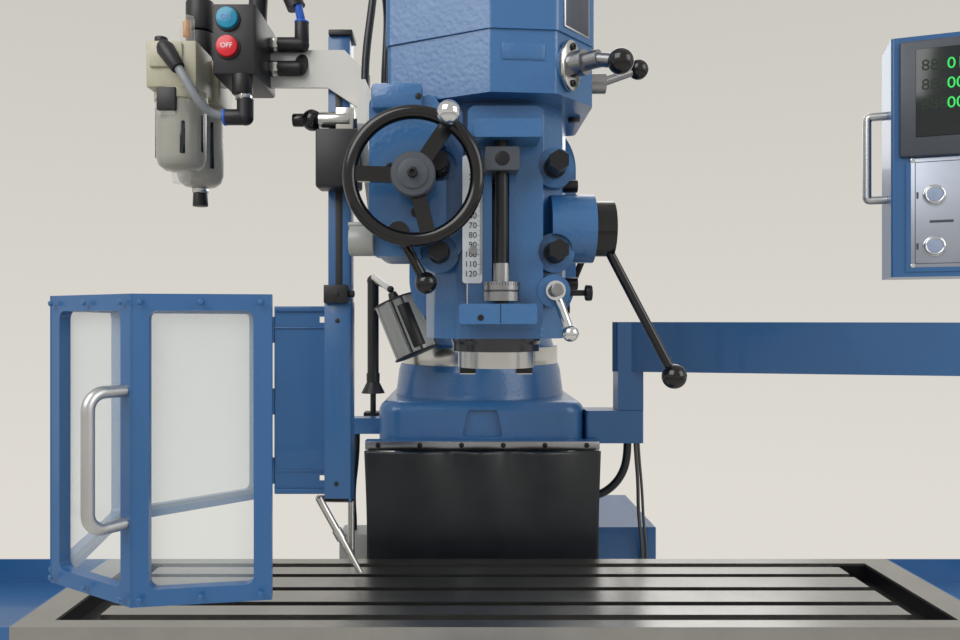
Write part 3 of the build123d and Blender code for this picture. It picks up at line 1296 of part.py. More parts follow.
def guard_frame():
    """Bent guard frame with one rounded window in each panel, hinge pins and a bow handle."""
    body = None
    for a, b in guard_panels():
        plane, length = panel_frame(a, b)
        wall = rectangle((-1, length + 1), (GUARD_LOW_Z, GUARD_TOP_Z))
        panel = slab(wall, plane, GUARD_THICKNESS)
        body = panel if body is None else body + panel
    for a, b in guard_panels():
        plane, length = panel_frame(a, b)
        window = rectangle(
            (GUARD_MEMBER, length - GUARD_MEMBER),
            (GUARD_LOW_Z + GUARD_MEMBER, GUARD_TOP_Z - GUARD_MEMBER),
        )
        cut = make_face(Polyline(*window, close=True))
        cut = plane * fillet(cut.vertices(), 8)
        body -= extrude(cut, GUARD_THICKNESS + 1)
        body -= extrude(cut, -1)
    for z in (GUARD_LOW_Z + 56, 1272):
        body += rod((HINGE_X, HINGE_Y, z), (HINGE_X, HINGE_Y, z + 26), 7)
        body += block((HINGE_X - 12, HINGE_X), (HINGE_Y, HINGE_Y + 8), (z, z + 26))
    low_pin = GUARD_LOW_Z + 15
    body += rod((HINGE_X, HINGE_Y, low_pin), (HINGE_X, HINGE_Y, 1375), 3)
    return body


def guard_windows():
    """Clear panes seated on the inner faces of the guard frame."""
    panes = []
    lap = 5
    for a, b in guard_panels():
        plane, length = panel_frame(a, b)
        pane = rectangle(
            (GUARD_MEMBER - lap, length - GUARD_MEMBER + lap),
            (GUARD_LOW_Z + GUARD_MEMBER - lap, GUARD_TOP_Z - GUARD_MEMBER + lap),
        )
        panes.append(slab(pane, plane.offset(GUARD_THICKNESS), PANE_THICKNESS))
    return Compound(children=panes)


def guard_handle():
    """Aluminium bow handle on the outside of the guard's front corner."""
    plane, length = panel_frame(*guard_panels()[1])
    points = [(8, 1308, 0), (8, 1308, -38), (8, 1182, -38), (8, 1182, 0)]
    route = FilletPolyline(*points, radius=16)
    bar = sweep(Plane(origin=route @ 0, z_dir=route % 0) * Circle(6), path=route)
    return plane * bar


def button_box():
    """Two-button switch box on the cream arm."""
    body = block(BUTTON_BOX_X, BUTTON_BOX_Y, BUTTON_BOX_Z)
    body = ease(body, Axis.Y, 7)
    x = sum(BUTTON_BOX_X) / 2
    for z in BUTTON_Z.values():
        body += rod((x, BUTTON_BOX_Y[0] + 1, z), (x, BUTTON_BOX_Y[0] - 4, z), BUTTON_RADIUS + 3)
        body -= rod((x, BUTTON_BOX_Y[0] - 5, z), (x, BUTTON_BOX_Y[0] + 8, z), BUTTON_RADIUS + FACE_GAP)
    corner = (ELBOW_X, ELBOW_Y, ELBOW_Z)
    body += rod((ELBOW_X, ELBOW_Y, BUTTON_BOX_Z[0] + 1), corner, 10) + ball(corner, 10)
    return body + rod(corner, (ELBOW_X - 18, ELBOW_Y, ELBOW_Z), 9)


def push_button(z):
    x = sum(BUTTON_BOX_X) / 2
    front = BUTTON_BOX_Y[0] - 9
    button = rod((x, BUTTON_BOX_Y[0] + 3, z), (x, front, z), BUTTON_RADIUS)
    return fillet(button.faces().sort_by(Axis.Y)[0].edges(), 2)


def on_button():
    return push_button(BUTTON_Z["on"])


def off_button():
    return push_button(BUTTON_Z["off"])


def air_unit():
    """Filter and lubricator heads side by side, with ports, knob dome and elbow."""
    body = None
    for x, y in BOWL_CENTRES:
        head = block((x - 37, AIR_ARM_X), (y - 35, y + 35), AIR_BODY_Z)
        head = ease(head, Axis.Z, 8)
        head += rod((x, y, AIR_BODY_Z[0] + 1), (x, y, AIR_BODY_Z[0] - 14), 37)
        head += rod((x, y, AIR_BODY_Z[1] - 1), (x, y, AIR_BODY_Z[1] + 22), 20)
        head += ball((x, y, AIR_BODY_Z[1] + 22), 15)
        body = head if body is None else body + head
    near, far = BOWL_CENTRES
    middle = (AIR_BODY_Z[0] + AIR_BODY_Z[1]) / 2
    body += rod((near[0], near[1], middle), (far[0], far[1], middle), 16)
    x, y, z = FILTER_ELBOW
    body += rod((x, near[1] - 30, z), FILTER_ELBOW, 10) + ball(FILTER_ELBOW, 10)
    body += rod(FILTER_ELBOW, (x, y, z - 10), 9)
    return Compound(children=[body, *air_bowls(), air_hose()])


def air_bowls():
    """Clear bowls screwed under the two heads, with their drain caps."""
    bowls = []
    top = AIR_BODY_Z[0] - 14
    for (x, y), drop in zip(BOWL_CENTRES, (0, 26)):
        low = BOWL_LOW_Z - drop
        bowl = drum(
            [
                (0, low - 12),
                (9, low - 12),
                (12, low),
                (BOWL_RADIUS - 8, low),
                (BOWL_RADIUS, low + 12),
                (BOWL_RADIUS, top),
                (0, top),
            ],
            (x, y, 0),
            (0, 0, 1),
        )
        bowls.append(bowl)
    return bowls


def air_hose():
    """Short looped hose from the filter's elbow to the button box's fitting."""
    x, y, z = FILTER_ELBOW
    points = [
        (x, y, z - 10 - FACE_GAP),
        (x, y, z - 34),
        (x + 9, y + 3, z - 56),
        (x + 26, y + 10, z - 73),
        (x + 48, ELBOW_Y, ELBOW_Z),
        (ELBOW_X - 18 - FACE_GAP, ELBOW_Y, ELBOW_Z),
    ]
    return bent_tube(points, 6)


def coolant_nozzle():
    """Bracket on the saddle's back with the metal coolant pipe over the table."""
    rear = SADDLE_CENTRE_Y + SADDLE_DEPTH / 2
    seat_z = TABLE_TOP_Z - TABLE_THICKNESS - 40
    body = block((-262, -218), (rear, rear + 22), (seat_z, seat_z + 20))
    x, y = -240, rear + 14
    knee_bend = (x, y, TABLE_TOP_Z + 100)
    elbow = Vector(-270, -396, TABLE_TOP_Z + 137)
    tip = Vector(-203, -400, TABLE_TOP_Z + 19)
    body += rod((x, y, seat_z + 10), knee_bend, 6) + ball(knee_bend, 6)
    body += rod(knee_bend, tuple(elbow), 6) + ball(tuple(elbow), 6)
    along = tip - elbow
    body += rod(tuple(elbow), tuple(elbow + along * 0.5), 6)
    body += rod(tuple(elbow + along * 0.42), tuple(elbow + along * 0.55), 8)
    return body + rod(tuple(elbow + along * 0.5), tuple(tip), 6.5, 4)


LEFT_CABLE = (
    (-256, -60, 1143.7),
    (-256, -60, 1118),
    (-259, -61, 1076),
    (-264, -62, 1034),
    (-264, -61, 994),
    (-262, -60, 967),
    (-262, -60, 945.3),
)
RIGHT_HOSE = (
    (292, -98, 1132.7),
    (292, -98, 1098),
    (279, -97, 1060),
    (253, -94, 1032),
    (222, -92, 1020),
    (187.3, -92, 1020),
)
HEAD_CONDUIT = (
    (-183, -500, 1718.3),
    (-183, -500, 1742),
    (-180, -500.5, 1782),
    (-175, -500, 1820),
    (-171, -500, 1853),
    (-168, -492, 1874),
    (-166, -477, 1889),
    (-164, -458, 1897),
    (-162, -437, 1897),
    (-161, -418, 1889),
    (-160, -404, 1874),
    (-160, -396, 1853),
    (-162, -394, 1812),
    (-165, -393, 1760),
    (-163, -393, 1706),
    (-160, -393, 1654),
    (-160, -393, 1618.3),
)


def head_conduit():
    """Ribbed black conduit from the motor side down to the arm beside the ram."""
    return bent_tube(HEAD_CONDUIT, 6)


def left_cable():
    """Cable that drops from the column head's left side."""
    return bent_tube(LEFT_CABLE, 8)


def right_hose():
    """Black hose from the readout bracket down to the column."""
    return bent_tube(RIGHT_HOSE, 8)


SUBPARTS = (
    column,
    column_head,
    way_cover,
    knee,
    elevating_screw,
    knee_crank,
    knee_lock,
    cross_handwheel,
    saddle,
    table_lock,
    coolant_nozzle,
    table,
    end_trays,
    table_screw,
    cabinet,
    cabinet_door,
    lamp_base,
    lamp_arm,
    lamp_head,
    dro_bracket,
    dro_arm,
    dro_box,
    upper_knob,
    lower_knob,
    turret,
    ram,
    ram_lever,
    knuckle,
    head_casting,
    gear_housing,
    belt_housing,
    motor,
    feed_box,
    clamp_bolts,
    quill_scale,
    stop_screw,
    hi_lo_lever,
    brake_lever,
    quill,
    stop_block,
    spindle,
    micrometer_nut,
    quill_lever,
    quill_lock,
    feed_handwheel,
    feed_trip_lever,
    accessory_bracket,
    guard_rail,
    rail_knob,
    guard_plate,
    guard_frame,
    guard_windows,
    guard_handle,
    button_box,
    on_button,
    off_button,
    air_unit,
    left_cable,
    right_hose,
    head_conduit,
)


def main():
    os.makedirs("parts", exist_ok=True)
    for make in SUBPARTS:
        export_step(make(), "parts/" + make.__name__ + ".step")


if __name__ == "__main__":
    main()
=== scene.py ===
"""Looks of the turret mill: finishes, trim, cords, floor, light and camera."""

import math

import bpy
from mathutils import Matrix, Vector


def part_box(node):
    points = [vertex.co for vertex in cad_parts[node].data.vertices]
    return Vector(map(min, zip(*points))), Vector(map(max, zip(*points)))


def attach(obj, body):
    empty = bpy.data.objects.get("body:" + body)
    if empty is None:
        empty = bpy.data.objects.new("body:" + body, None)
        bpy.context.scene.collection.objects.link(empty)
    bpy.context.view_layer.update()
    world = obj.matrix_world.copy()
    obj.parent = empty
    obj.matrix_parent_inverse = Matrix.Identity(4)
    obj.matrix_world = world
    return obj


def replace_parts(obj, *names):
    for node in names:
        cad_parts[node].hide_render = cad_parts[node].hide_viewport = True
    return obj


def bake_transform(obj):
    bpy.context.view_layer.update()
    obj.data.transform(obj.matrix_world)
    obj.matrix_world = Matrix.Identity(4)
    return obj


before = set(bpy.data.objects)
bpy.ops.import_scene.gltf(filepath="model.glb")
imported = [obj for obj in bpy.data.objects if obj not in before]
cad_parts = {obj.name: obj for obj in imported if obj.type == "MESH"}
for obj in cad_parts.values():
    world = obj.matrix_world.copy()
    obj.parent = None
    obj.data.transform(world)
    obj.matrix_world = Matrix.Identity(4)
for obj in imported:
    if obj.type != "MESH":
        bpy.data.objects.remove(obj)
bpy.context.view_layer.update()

bl_info = {
    "name": "Turret Mill Looks",
    "version": (1, 0, 0),
    "blender": (4, 5, 0),
    "location": "3D View > Sidebar > Mill",
    "description": "Dresses the turret mill with finishes, trim, cords and a plain studio",
    "category": "Object",
}

MM = 0.001
FRONTWARD = (0, -1, 0)
FACING_FRONT = (math.radians(90), 0, 0)
SMOOTH_ANGLE = math.radians(35)

# Places and sizes on the machine, in mm
BEVEL_TURN = math.radians(49.8)
PROW_TURN = math.radians(5)
SHIFT_SEAT = (70, -844.7, 1637)
PLATE_SEAT = (80, -834, 1711)
WHEEL_CENTRE = (-87, 1515)
SCALE_ZERO_Z = 1542.5
SCALE_LENGTH = 120
NUT_MARKS = 40

# The readout, the hanging sheet and the welding of turned pieces, in metres
READOUT_CENTRE = Vector((0.8, -0.443, 1.442))
READOUT_TURN = math.radians(-20)
READOUT_FRONT = -0.045
WELD_GAP = 0.00001
SHEET_DEPTH = 0.016
SHEET_EDGE_GAP = 0.001
SHEET_WAIST = 0.03
SHEET_SAG = 0.0135
FOLD_COUNT = 17
FOLD_FADE = 5.5


# Small helpers


def linear(hex_value):
    """Linear colour of an sRGB hex value."""
    shares = [int(hex_value[i : i + 2], 16) / 255 for i in (1, 3, 5)]
    return (*[c / 12.92 if c <= 0.04045 else ((c + 0.055) / 1.055) ** 2.4 for c in shares], 1.0)


def add_node(tree, kind, settings=None, links=None):
    """Adds a node with its settings and its incoming links."""
    node = tree.nodes.new(kind)
    for name, value in (settings or {}).items():
        if name in node.inputs:
            node.inputs[name].default_value = value
        else:
            setattr(node, name, value)
    for name, source in (links or {}).items():
        tree.links.new(node.inputs[name], source)
    return node


def new_material(name, **settings):
    """Material with a Principled shader and the object's own coordinates."""
    made = bpy.data.materials.new(name)
    made.use_nodes = True
    tree = made.node_tree
    shader = tree.nodes["Principled BSDF"]
    for key, value in settings.items():
        shader.inputs[key.replace("_", " ")].default_value = value
    place = add_node(tree, "ShaderNodeTexCoord").outputs["Object"]
    return made, tree, shader, place


def fed(tree, shader, **sources):
    """Links outputs to the shader's inputs of the same names."""
    for name, source in sources.items():
        tree.links.new(shader.inputs[name.replace("_", " ")], source)


def mixed(tree, factor, first, second):
    """Blend of two colours by a factor."""
    mix = add_node(tree, "ShaderNodeMix", {"data_type": "RGBA"}, {"Factor": factor})
    mix.inputs[6].default_value = linear(first)
    mix.inputs[7].default_value = linear(second)
    return mix.outputs[2]


def spread(tree, source, low, high):
    """A zero-to-one pattern moved into the range from low to high."""
    settings = {"To Min": low, "To Max": high}
    return add_node(tree, "ShaderNodeMapRange", settings, {"Value": source}).outputs["Result"]


def bumped(tree, shader, height, depth_mm, strength):
    """Relief of a real depth on the shader's normal."""
    settings = {"Distance": depth_mm * MM, "Strength": strength}
    bump = add_node(tree, "ShaderNodeBump", settings, {"Height": height})
    fed(tree, shader, Normal=bump.outputs["Normal"])


def noise(tree, place, size_mm, detail, stretch=None):
    """Noise whose features have a real size, drawn out along an axis if asked."""
    if stretch:
        drawn_out = add_node(tree, "ShaderNodeMapping", {"Scale": stretch}, {"Vector": place})
        place = drawn_out.outputs[0]
    settings = {"Scale": 1000 / size_mm, "Detail": detail}
    return add_node(tree, "ShaderNodeTexNoise", settings, {"Vector": place}).outputs["Fac"]


# Finishes

DENT_SIZE_MM = 4.5


def hammered_enamel():
    """Hammered blue enamel on cast iron: small rounded dents under a wet gloss."""
    made, tree, shader, place = new_material(
        "hammered_blue_enamel", Roughness=0.3, IOR=1.5, Coat_Weight=0.35, Coat_Roughness=0.12
    )
    cells = {"feature": "SMOOTH_F1", "Scale": 1000 / DENT_SIZE_MM}
    dents = add_node(tree, "ShaderNodeTexVoronoi", cells, {"Vector": place}).outputs["Distance"]
    wave = noise(tree, place, 26, 2)
    both = add_node(tree, "ShaderNodeMath", {"operation": "ADD"}, {0: dents, 1: wave})
    bumped(tree, shader, both.outputs[0], 0.5, 0.75)
    tone = mixed(tree, noise(tree, place, 90, 4), "#2c5d8f", "#386b9c")
    fed(tree, shader, Base_Color=tone, Roughness=spread(tree, wave, 0.24, 0.4))
    return made


def sheet_enamel(name, dark, light, roughness):
    """Sprayed enamel on folded sheet steel: faint orange peel about 1.5 mm across."""
    made, tree, shader, place = new_material(name, Roughness=roughness, IOR=1.5, Coat_Weight=0.2)
    bumped(tree, shader, noise(tree, place, 3, 2), 0.06, 0.6)
    fed(tree, shader, Base_Color=mixed(tree, noise(tree, place, 140, 3), dark, light))
    return made


def ground_metal(name, dark, light, low, high, stretch):
    """Ground or turned metal: fine lines along the cut, and oil that changes the gloss."""
    made, tree, shader, place = new_material(name, Metallic=1.0, Roughness=low)
    lines = noise(tree, place, 1.2, 3, stretch)
    stain = noise(tree, place, 60, 5)
    tone = mixed(tree, stain, dark, light)
    fed(tree, shader, Base_Color=tone, Roughness=spread(tree, lines, low, high))
    bumped(tree, shader, lines, 0.02, 0.35)
    return made


def chrome_plate():
    """Polished chrome plate: a mirror with slight haze."""
    made, tree, shader, place = new_material("polished_chrome", Metallic=1.0, Roughness=0.08)
    haze = noise(tree, place, 12, 4)
    tone = mixed(tree, haze, "#c9ccd0", "#e2e4e6")
    fed(tree, shader, Base_Color=tone, Roughness=spread(tree, haze, 0.05, 0.16))
    return made


def black_finish(name, base, light, low, high, grain_mm, depth_mm, metallic=0.0):
    """Black oxide, moulded plastic or rubber, by its grain and gloss."""
    made, tree, shader, place = new_material(name, Roughness=low, Metallic=metallic, IOR=1.5)
    grain = noise(tree, place, grain_mm, 4)
    patches = noise(tree, place, 45, 3)
    tone = mixed(tree, patches, base, light)
    fed(tree, shader, Base_Color=tone, Roughness=spread(tree, patches, low, high))
    bumped(tree, shader, grain, depth_mm, 0.5)
    return made


def clear_plastic(name, tint, roughness, alpha):
    """Clear or smoked moulded plastic: thin enough to see through."""
    made, tree, shader, place = new_material(name, Roughness=roughness, IOR=1.49, Alpha=alpha)
    haze = noise(tree, place, 30, 3)
    shader.inputs["Base Color"].default_value = linear(tint)
    fed(tree, shader, Roughness=spread(tree, haze, roughness, roughness + 0.08))
    made.surface_render_method = "BLENDED"
    return made


def plain_plastic(name, dark, light, roughness):
    """Glossy moulded plastic, slightly mottled."""
    made, tree, shader, place = new_material(name, Roughness=roughness, IOR=1.5)
    fed(tree, shader, Base_Color=mixed(tree, noise(tree, place, 8, 3), dark, light))
    bumped(tree, shader, noise(tree, place, 1.5, 2), 0.02, 0.4)
    return made


def lit_digits():
    """Green glow of the readout's figures."""
    made, _, shader, _ = new_material("green_figures", Roughness=0.4)
    shader.inputs["Base Color"].default_value = linear("#1d8f3c")
    shader.inputs["Emission Color"].default_value = linear("#2fd05a")
    shader.inputs["Emission Strength"].default_value = 0.9
    return made


METALS = (
    ("table_iron", "oiled_ground_iron", "#9b9b99", "#b4b3b0", 0.2, 0.34, (1, 30, 30)),
    ("steel", "ground_steel", "#84858a", "#a3a4a7", 0.18, 0.36, (3, 3, 40)),
    ("turned", "turned_steel", "#b4b4b2", "#cfcfcc", 0.14, 0.3, (6, 6, 60)),
    ("dark_steel", "oiled_dark_steel", "#3a3b3e", "#5a5b5f", 0.12, 0.26, (6, 6, 60)),
    ("aluminium", "satin_aluminium", "#b4b6b8", "#cfd1d2", 0.3, 0.44, (3, 3, 30)),
    ("brushed_panel", "brushed_panel", "#9ba2b0", "#b2b8c4", 0.4, 0.52, (40, 2, 2)),
)
SHEETS = (
    ("sheet", "sprayed_blue_enamel", "#2a5a8c", "#316496", 0.32),
    ("cream", "cream_enamel", "#d2cfc6", "#dfdcd4", 0.36),
    ("white", "white_enamel", "#d7dde2", "#e6eaec", 0.3),
    ("shade_grey", "grey_lamp_enamel", "#90918e", "#a0a19d", 0.4),
    ("motor", "grey_motor_enamel", "#43484c", "#4e5458", 0.45),
)
BLACKS = (
    ("oxide", "black_oxide_steel", "#121215", "#1d1d21", 0.3, 0.45, 1.0, 0.02, 0.3),
    ("gloss_black", "black_lacquer", "#08080a", "#121216", 0.1, 0.2, 2.0, 0.02),
    ("black_plastic", "moulded_black_plastic", "#101013", "#1b1b20", 0.38, 0.52, 0.8, 0.03),
    ("rubber", "black_rubber_sheet", "#15181c", "#22262b", 0.26, 0.4, 2.5, 0.05),
)
CLEARS = (
    ("pane", "clear_polycarbonate", "#dfe8ea", 0.04, 0.16),
    ("bowl", "smoked_clear_bowl", "#a9a79c", 0.14, 0.85),
    ("clear_cap", "clear_moulded_cap", "#e6e4da", 0.06, 0.22),
)
PLASTICS = (
    ("grey_plastic", "grey_moulded_plastic", "#aaa58d", "#b8b39c", 0.34),
    ("amber", "amber_plastic", "#b06a08", "#cf8a18", 0.16),
    ("cyan", "cyan_plastic", "#0d7e9f", "#1691b4", 0.24),
    ("red", "red_plastic", "#cf1522", "#e02432", 0.24),
    ("grey_cable", "grey_cable_sheath", "#4b4845", "#5a5753", 0.5),
    ("tube_blue", "blue_air_tube", "#1f55b8", "#2f6fd0", 0.2),
    ("blue_ring", "blue_plastic", "#1c4a9c", "#2a5fb8", 0.25),
    ("slate", "slate_bezel", "#3b4048", "#474d56", 0.42),
    ("screen", "dark_screen", "#10181a", "#162022", 0.14),
    ("unlit", "unlit_figures", "#17261c", "#1c2f22", 0.3),
    ("red_collar", "red_collar", "#b8202c", "#cc2f38", 0.3),
    ("pale_cap", "pale_grey_cap", "#8e9bb4", "#9aa6bd", 0.3),
    ("ink", "black_ink", "#17181a", "#222326", 0.6),
    ("conduit_grey", "grey_conduit", "#7d8082", "#94979a", 0.4),
)


def make_materials():
    """All finishes by a short name."""
    made = {"casting": hammered_enamel(), "chrome": chrome_plate(), "figures": lit_digits()}
    for maker, rows in (
        (ground_metal, METALS), (sheet_enamel, SHEETS), (black_finish, BLACKS),
        (clear_plastic, CLEARS), (plain_plastic, PLASTICS),
    ):
        made.update({finish: maker(*looks) for finish, *looks in rows})
    return made


MATERIALS = {}

# Modelling helpers, as by hand


def nothing_selected():
    """Leaves edit mode and clears the selection."""
    if bpy.context.object and bpy.context.object.mode != "OBJECT":
        bpy.ops.object.mode_set(mode="OBJECT")
    bpy.ops.object.select_all(action="DESELECT")


def alone(piece):
    """Selects one piece and makes it the active one."""
    nothing_selected()
    piece.select_set(True)
    bpy.context.view_layer.objects.active = piece
    return piece


def placed(piece):
    """Puts a piece's place, turn and size into its mesh."""
    alone(piece)
    bpy.ops.object.transform_apply(location=True, rotation=True, scale=True)
    return piece


def shaped(piece, kind, **settings):
    """Adds a modifier with its settings and keeps the result."""
    change = piece.modifiers.new("shaping", kind)
    for name, value in settings.items():
        setattr(change, name, value)
    bpy.context.view_layer.objects.active = piece
    bpy.ops.object.modifier_apply(modifier=change.name)
    return piece


def softened(piece, width_mm):
    """Bevels the edges of a piece."""
    return shaped(piece, "BEVEL", width=width_mm * MM, segments=2, limit_method="ANGLE")


def bar(start, end, radius, end_radius=None, sides=32, edge=0.0):
    """Round bar, cone or disc between two points, in mm."""
    nothing_selected()
    start, end = Vector(start), Vector(end)
    along = end - start
    bpy.ops.mesh.primitive_cone_add(
        vertices=sides,
        radius1=radius * MM,
        radius2=(radius if end_radius is None else end_radius) * MM,
        depth=along.length * MM,
        location=(start + end) / 2 * MM,
        rotation=along.to_track_quat("Z", "Y").to_euler(),
    )
    piece = placed(bpy.context.object)
    return softened(piece, edge) if edge else piece


def brick(low, high, edge=1.0):
    """Block between two corners with eased edges, in mm."""
    nothing_selected()
    low, high = Vector(low), Vector(high)
    bpy.ops.mesh.primitive_cube_add(size=1, location=(low + high) / 2 * MM)
    piece = bpy.context.object
    piece.scale = (high - low) * MM
    placed(piece)
    return softened(piece, edge) if edge else piece


def globe(centre, radius, sides=32):
    """Round knob, in mm."""
    nothing_selected()
    bpy.ops.mesh.primitive_uv_sphere_add(
        segments=sides, ring_count=sides // 2, radius=radius * MM, location=Vector(centre) * MM
    )
    return placed(bpy.context.object)


def ring(centre, axis, radius, thickness):
    """Ring of round section about an axis, in mm."""
    nothing_selected()
    bpy.ops.mesh.primitive_torus_add(
        major_segments=48,
        minor_segments=12,
        major_radius=radius * MM,
        minor_radius=thickness * MM,
        location=Vector(centre) * MM,
        rotation=Vector(axis).to_track_quat("Z", "Y").to_euler(),
    )
    return placed(bpy.context.object)


def turned_profile(profile, centre, axis, sides=48):
    """Turned piece from pairs of radius and distance along its axis, in mm."""
    nothing_selected()
    bpy.ops.mesh.primitive_circle_add(vertices=sides, radius=profile[0][0] * MM)
    piece = bpy.context.object
    bpy.ops.object.mode_set(mode="EDIT")
    bpy.ops.mesh.select_all(action="SELECT")
    bpy.ops.transform.translate(value=(0, 0, profile[0][1] * MM))
    for (before, low), (radius, high) in zip(profile, profile[1:]):
        rise = {"value": (0, 0, (high - low) * MM)}
        bpy.ops.mesh.extrude_edges_move(TRANSFORM_OT_translate=rise)
        share = radius / before
        bpy.ops.transform.resize(value=(share, share, 1), center_override=(0, 0, high * MM))
    bpy.ops.mesh.select_all(action="SELECT")
    bpy.ops.mesh.normals_make_consistent(inside=False)
    bpy.ops.object.mode_set(mode="OBJECT")
    shaped(piece, "WELD", merge_threshold=WELD_GAP)
    piece.location = Vector(centre) * MM
    piece.rotation_euler = Vector(axis).to_track_quat("Z", "Y").to_euler()
    return placed(piece)


def socket_screw(head, axis, radius, height):
    """Socket head cap screw that stands on a face, with its hexagon recess."""
    axis = Vector(axis).normalized()
    head = Vector(head)
    screw = bar(head - axis * 0.4, head + axis * height, radius, edge=radius * 0.12)
    hole = bar(head + axis * height * 0.5, head + axis * (height + 2), radius * 0.52, sides=6)
    shaped(screw, "BOOLEAN", operation="DIFFERENCE", object=hole)
    bpy.data.objects.remove(hole)
    return screw


def lettering(words, size, centre, depth, centred=True):
    """Raised figures or words that face the front, in mm."""
    nothing_selected()
    bpy.ops.object.text_add(location=Vector(centre) * MM, rotation=FACING_FRONT)
    piece = bpy.context.object
    piece.data.body = words
    piece.data.size = size * MM
    piece.data.extrude = depth * MM
    piece.data.align_x = "CENTER" if centred else "RIGHT"
    piece.data.align_y = "CENTER"
    bpy.ops.object.convert(target="MESH")
    return placed(bpy.context.object)


def seated(piece, place, turn, scale=(1, 1, 1)):
    """Moves a piece made at the origin and facing the front to its seat, in mm."""
    piece.scale = scale
    piece.rotation_euler = (0, 0, turn)
    piece.location = Vector(place) * MM
    return placed(piece)


def joined(pieces):
    """One object from several."""
    nothing_selected()
    for piece in pieces:
        piece.select_set(True)
    bpy.context.view_layer.objects.active = pieces[0]
    bpy.ops.object.join()
    return bpy.context.object


def drawn_line(name, points, radius, rounding, steps):
    """Round line along the given points, in mm, from the first to the last of them."""
    curve = bpy.data.curves.new(name, "CURVE")
    curve.dimensions = "3D"
    curve.bevel_depth = radius * MM
    curve.bevel_resolution = rounding
    curve.resolution_u = steps
    curve.use_fill_caps = True
    spline = curve.splines.new("NURBS")
    spline.points.add(len(points) - 1)
    for point, place in zip(spline.points, points):
        point.co = (*[v * MM for v in place], 1)
    spline.order_u = 3
    spline.use_endpoint_u = True
    piece = bpy.data.objects.new(name, curve)
    bpy.context.collection.objects.link(piece)
    return piece


def bent_hose(points, radius):
    """Stiff bent hose or sleeve along the given points, in mm, as a mesh."""
    alone(drawn_line("hose", points, radius, rounding=5, steps=12))
    bpy.ops.object.convert(target="MESH")
    return bpy.context.object


def dressed(piece, name, finish, body, smooth=True):
    """Names a piece, gives it its finish and lets it ride on its body."""
    piece.name = name
    piece.data.name = name
    piece.data.materials.clear()
    piece.data.materials.append(MATERIALS[finish])
    if smooth:
        alone(piece)
        bpy.ops.object.shade_smooth_by_angle(angle=SMOOTH_ANGLE)
    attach(piece, body)
    return piece


# Plan of the guard's panels and the cords' routes, in mm, as in the part's source
GUARD_PLAN = ((-226, -891), (-353, -912), (-467, -840), (-509, -599), (-352, -454))
LEFT_CABLE = (
    (-256, -60, 1143.7), (-256, -60, 1118), (-259, -61, 1076), (-264, -62, 1034),
    (-264, -61, 994), (-262, -60, 967), (-262, -60, 945.3),
)
RIGHT_HOSE = (
    (292, -98, 1132.7), (292, -98, 1098), (279, -97, 1060), (253, -94, 1032),
    (222, -92, 1020), (187.3, -92, 1020),
)
HEAD_CONDUIT = (
    (-183, -500, 1718.3), (-183, -500, 1742), (-180, -500.5, 1782), (-175, -500, 1820),
    (-171, -500, 1853), (-168, -492, 1874), (-166, -477, 1889), (-164, -458, 1897),
    (-162, -437, 1897), (-161, -418, 1889), (-160, -404, 1874), (-160, -396, 1853),
    (-162, -394, 1812), (-165, -393, 1760), (-163, -393, 1706), (-160, -393, 1654),
    (-160, -393, 1618.3),
)
CORDS = (
    ("left_cable", LEFT_CABLE, 8, "rubber", "base", "hanging"),
    ("right_hose", RIGHT_HOSE, 8, "rubber", "base", "hanging"),
    ("head_conduit", HEAD_CONDUIT, 6, "rubber", "ram", "loose"),
)

NODE_FINISHES = {
    "casting": (
        "column", "column_head", "knee", "turret", "ram", "knuckle",
        "head_casting", "gear_housing", "belt_housing", "feed_box",
    ),
    "sheet": (
        "end_trays", "cabinet", "cabinet_door", "dro_bracket", "dro_arm",
        "dro_box", "guard_rail", "guard_plate", "guard_frame",
    ),
    "table_iron": ("table", "saddle"),
    "steel": (
        "elevating_screw", "table_screw", "cross_handwheel", "knee_crank",
        "micrometer_nut", "hi_lo_lever", "brake_lever",
    ),
    "dark_steel": ("quill",),
    "turned": ("spindle", "coolant_nozzle"),
    "chrome": ("quill_lock",),
    "slate": ("stop_block",),
    "oxide": ("clamp_bolts", "stop_screw", "knee_lock", "table_lock", "ram_lever"),
    "gloss_black": ("feed_handwheel", "quill_lever", "feed_trip_lever"),
    "black_plastic": (
        "lamp_base", "lamp_arm", "button_box", "rail_knob", "upper_knob", "lower_knob",
    ),
    "rubber": ("way_cover", "left_cable", "right_hose", "head_conduit"),
    "aluminium": ("lamp_head", "guard_handle"),
    "cream": ("accessory_bracket",),
    "white": ("quill_scale",),
    "pane": ("guard_windows",),
    "cyan": ("on_button",),
    "red": ("off_button",),
    "grey_plastic": ("air_unit",),
    "motor": ("motor",),
}


class MillSettings(bpy.types.PropertyGroup):
    """Sizes and colours that a user would change."""

    numeral_size: bpy.props.FloatProperty(
        name="Numeral size", description="Height of the quill scale's figures, in mm",
        default=8.6, min=4, max=14,
    )
    fold_depth: bpy.props.FloatProperty(
        name="Fold depth", description="Depth of the way cover's folds, in mm",
        default=9.0, min=1, max=14,
    )
    floor_colour: bpy.props.FloatVectorProperty(
        name="Floor colour", description="Colour of the floor", subtype="COLOR",
        default=linear("#d8d2c8")[:3], min=0, max=1,
    )
    light_power: bpy.props.FloatProperty(
        name="Light power", description="Share of the normal studio light", subtype="FACTOR",
        default=1.0, min=0.2, max=3,
    )


class MILL_OT_paint(bpy.types.Operator):
    """Gives every CAD node its finish"""

    bl_idname = "mill.paint"
    bl_label = "Paint the Nodes"

    def execute(self, context):
        MATERIALS.update(make_materials())
        for finish, names in NODE_FINISHES.items():
            for name in names:
                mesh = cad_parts[name].data
                mesh.materials.clear()
                mesh.materials.append(MATERIALS[finish])
        return {"FINISHED"}


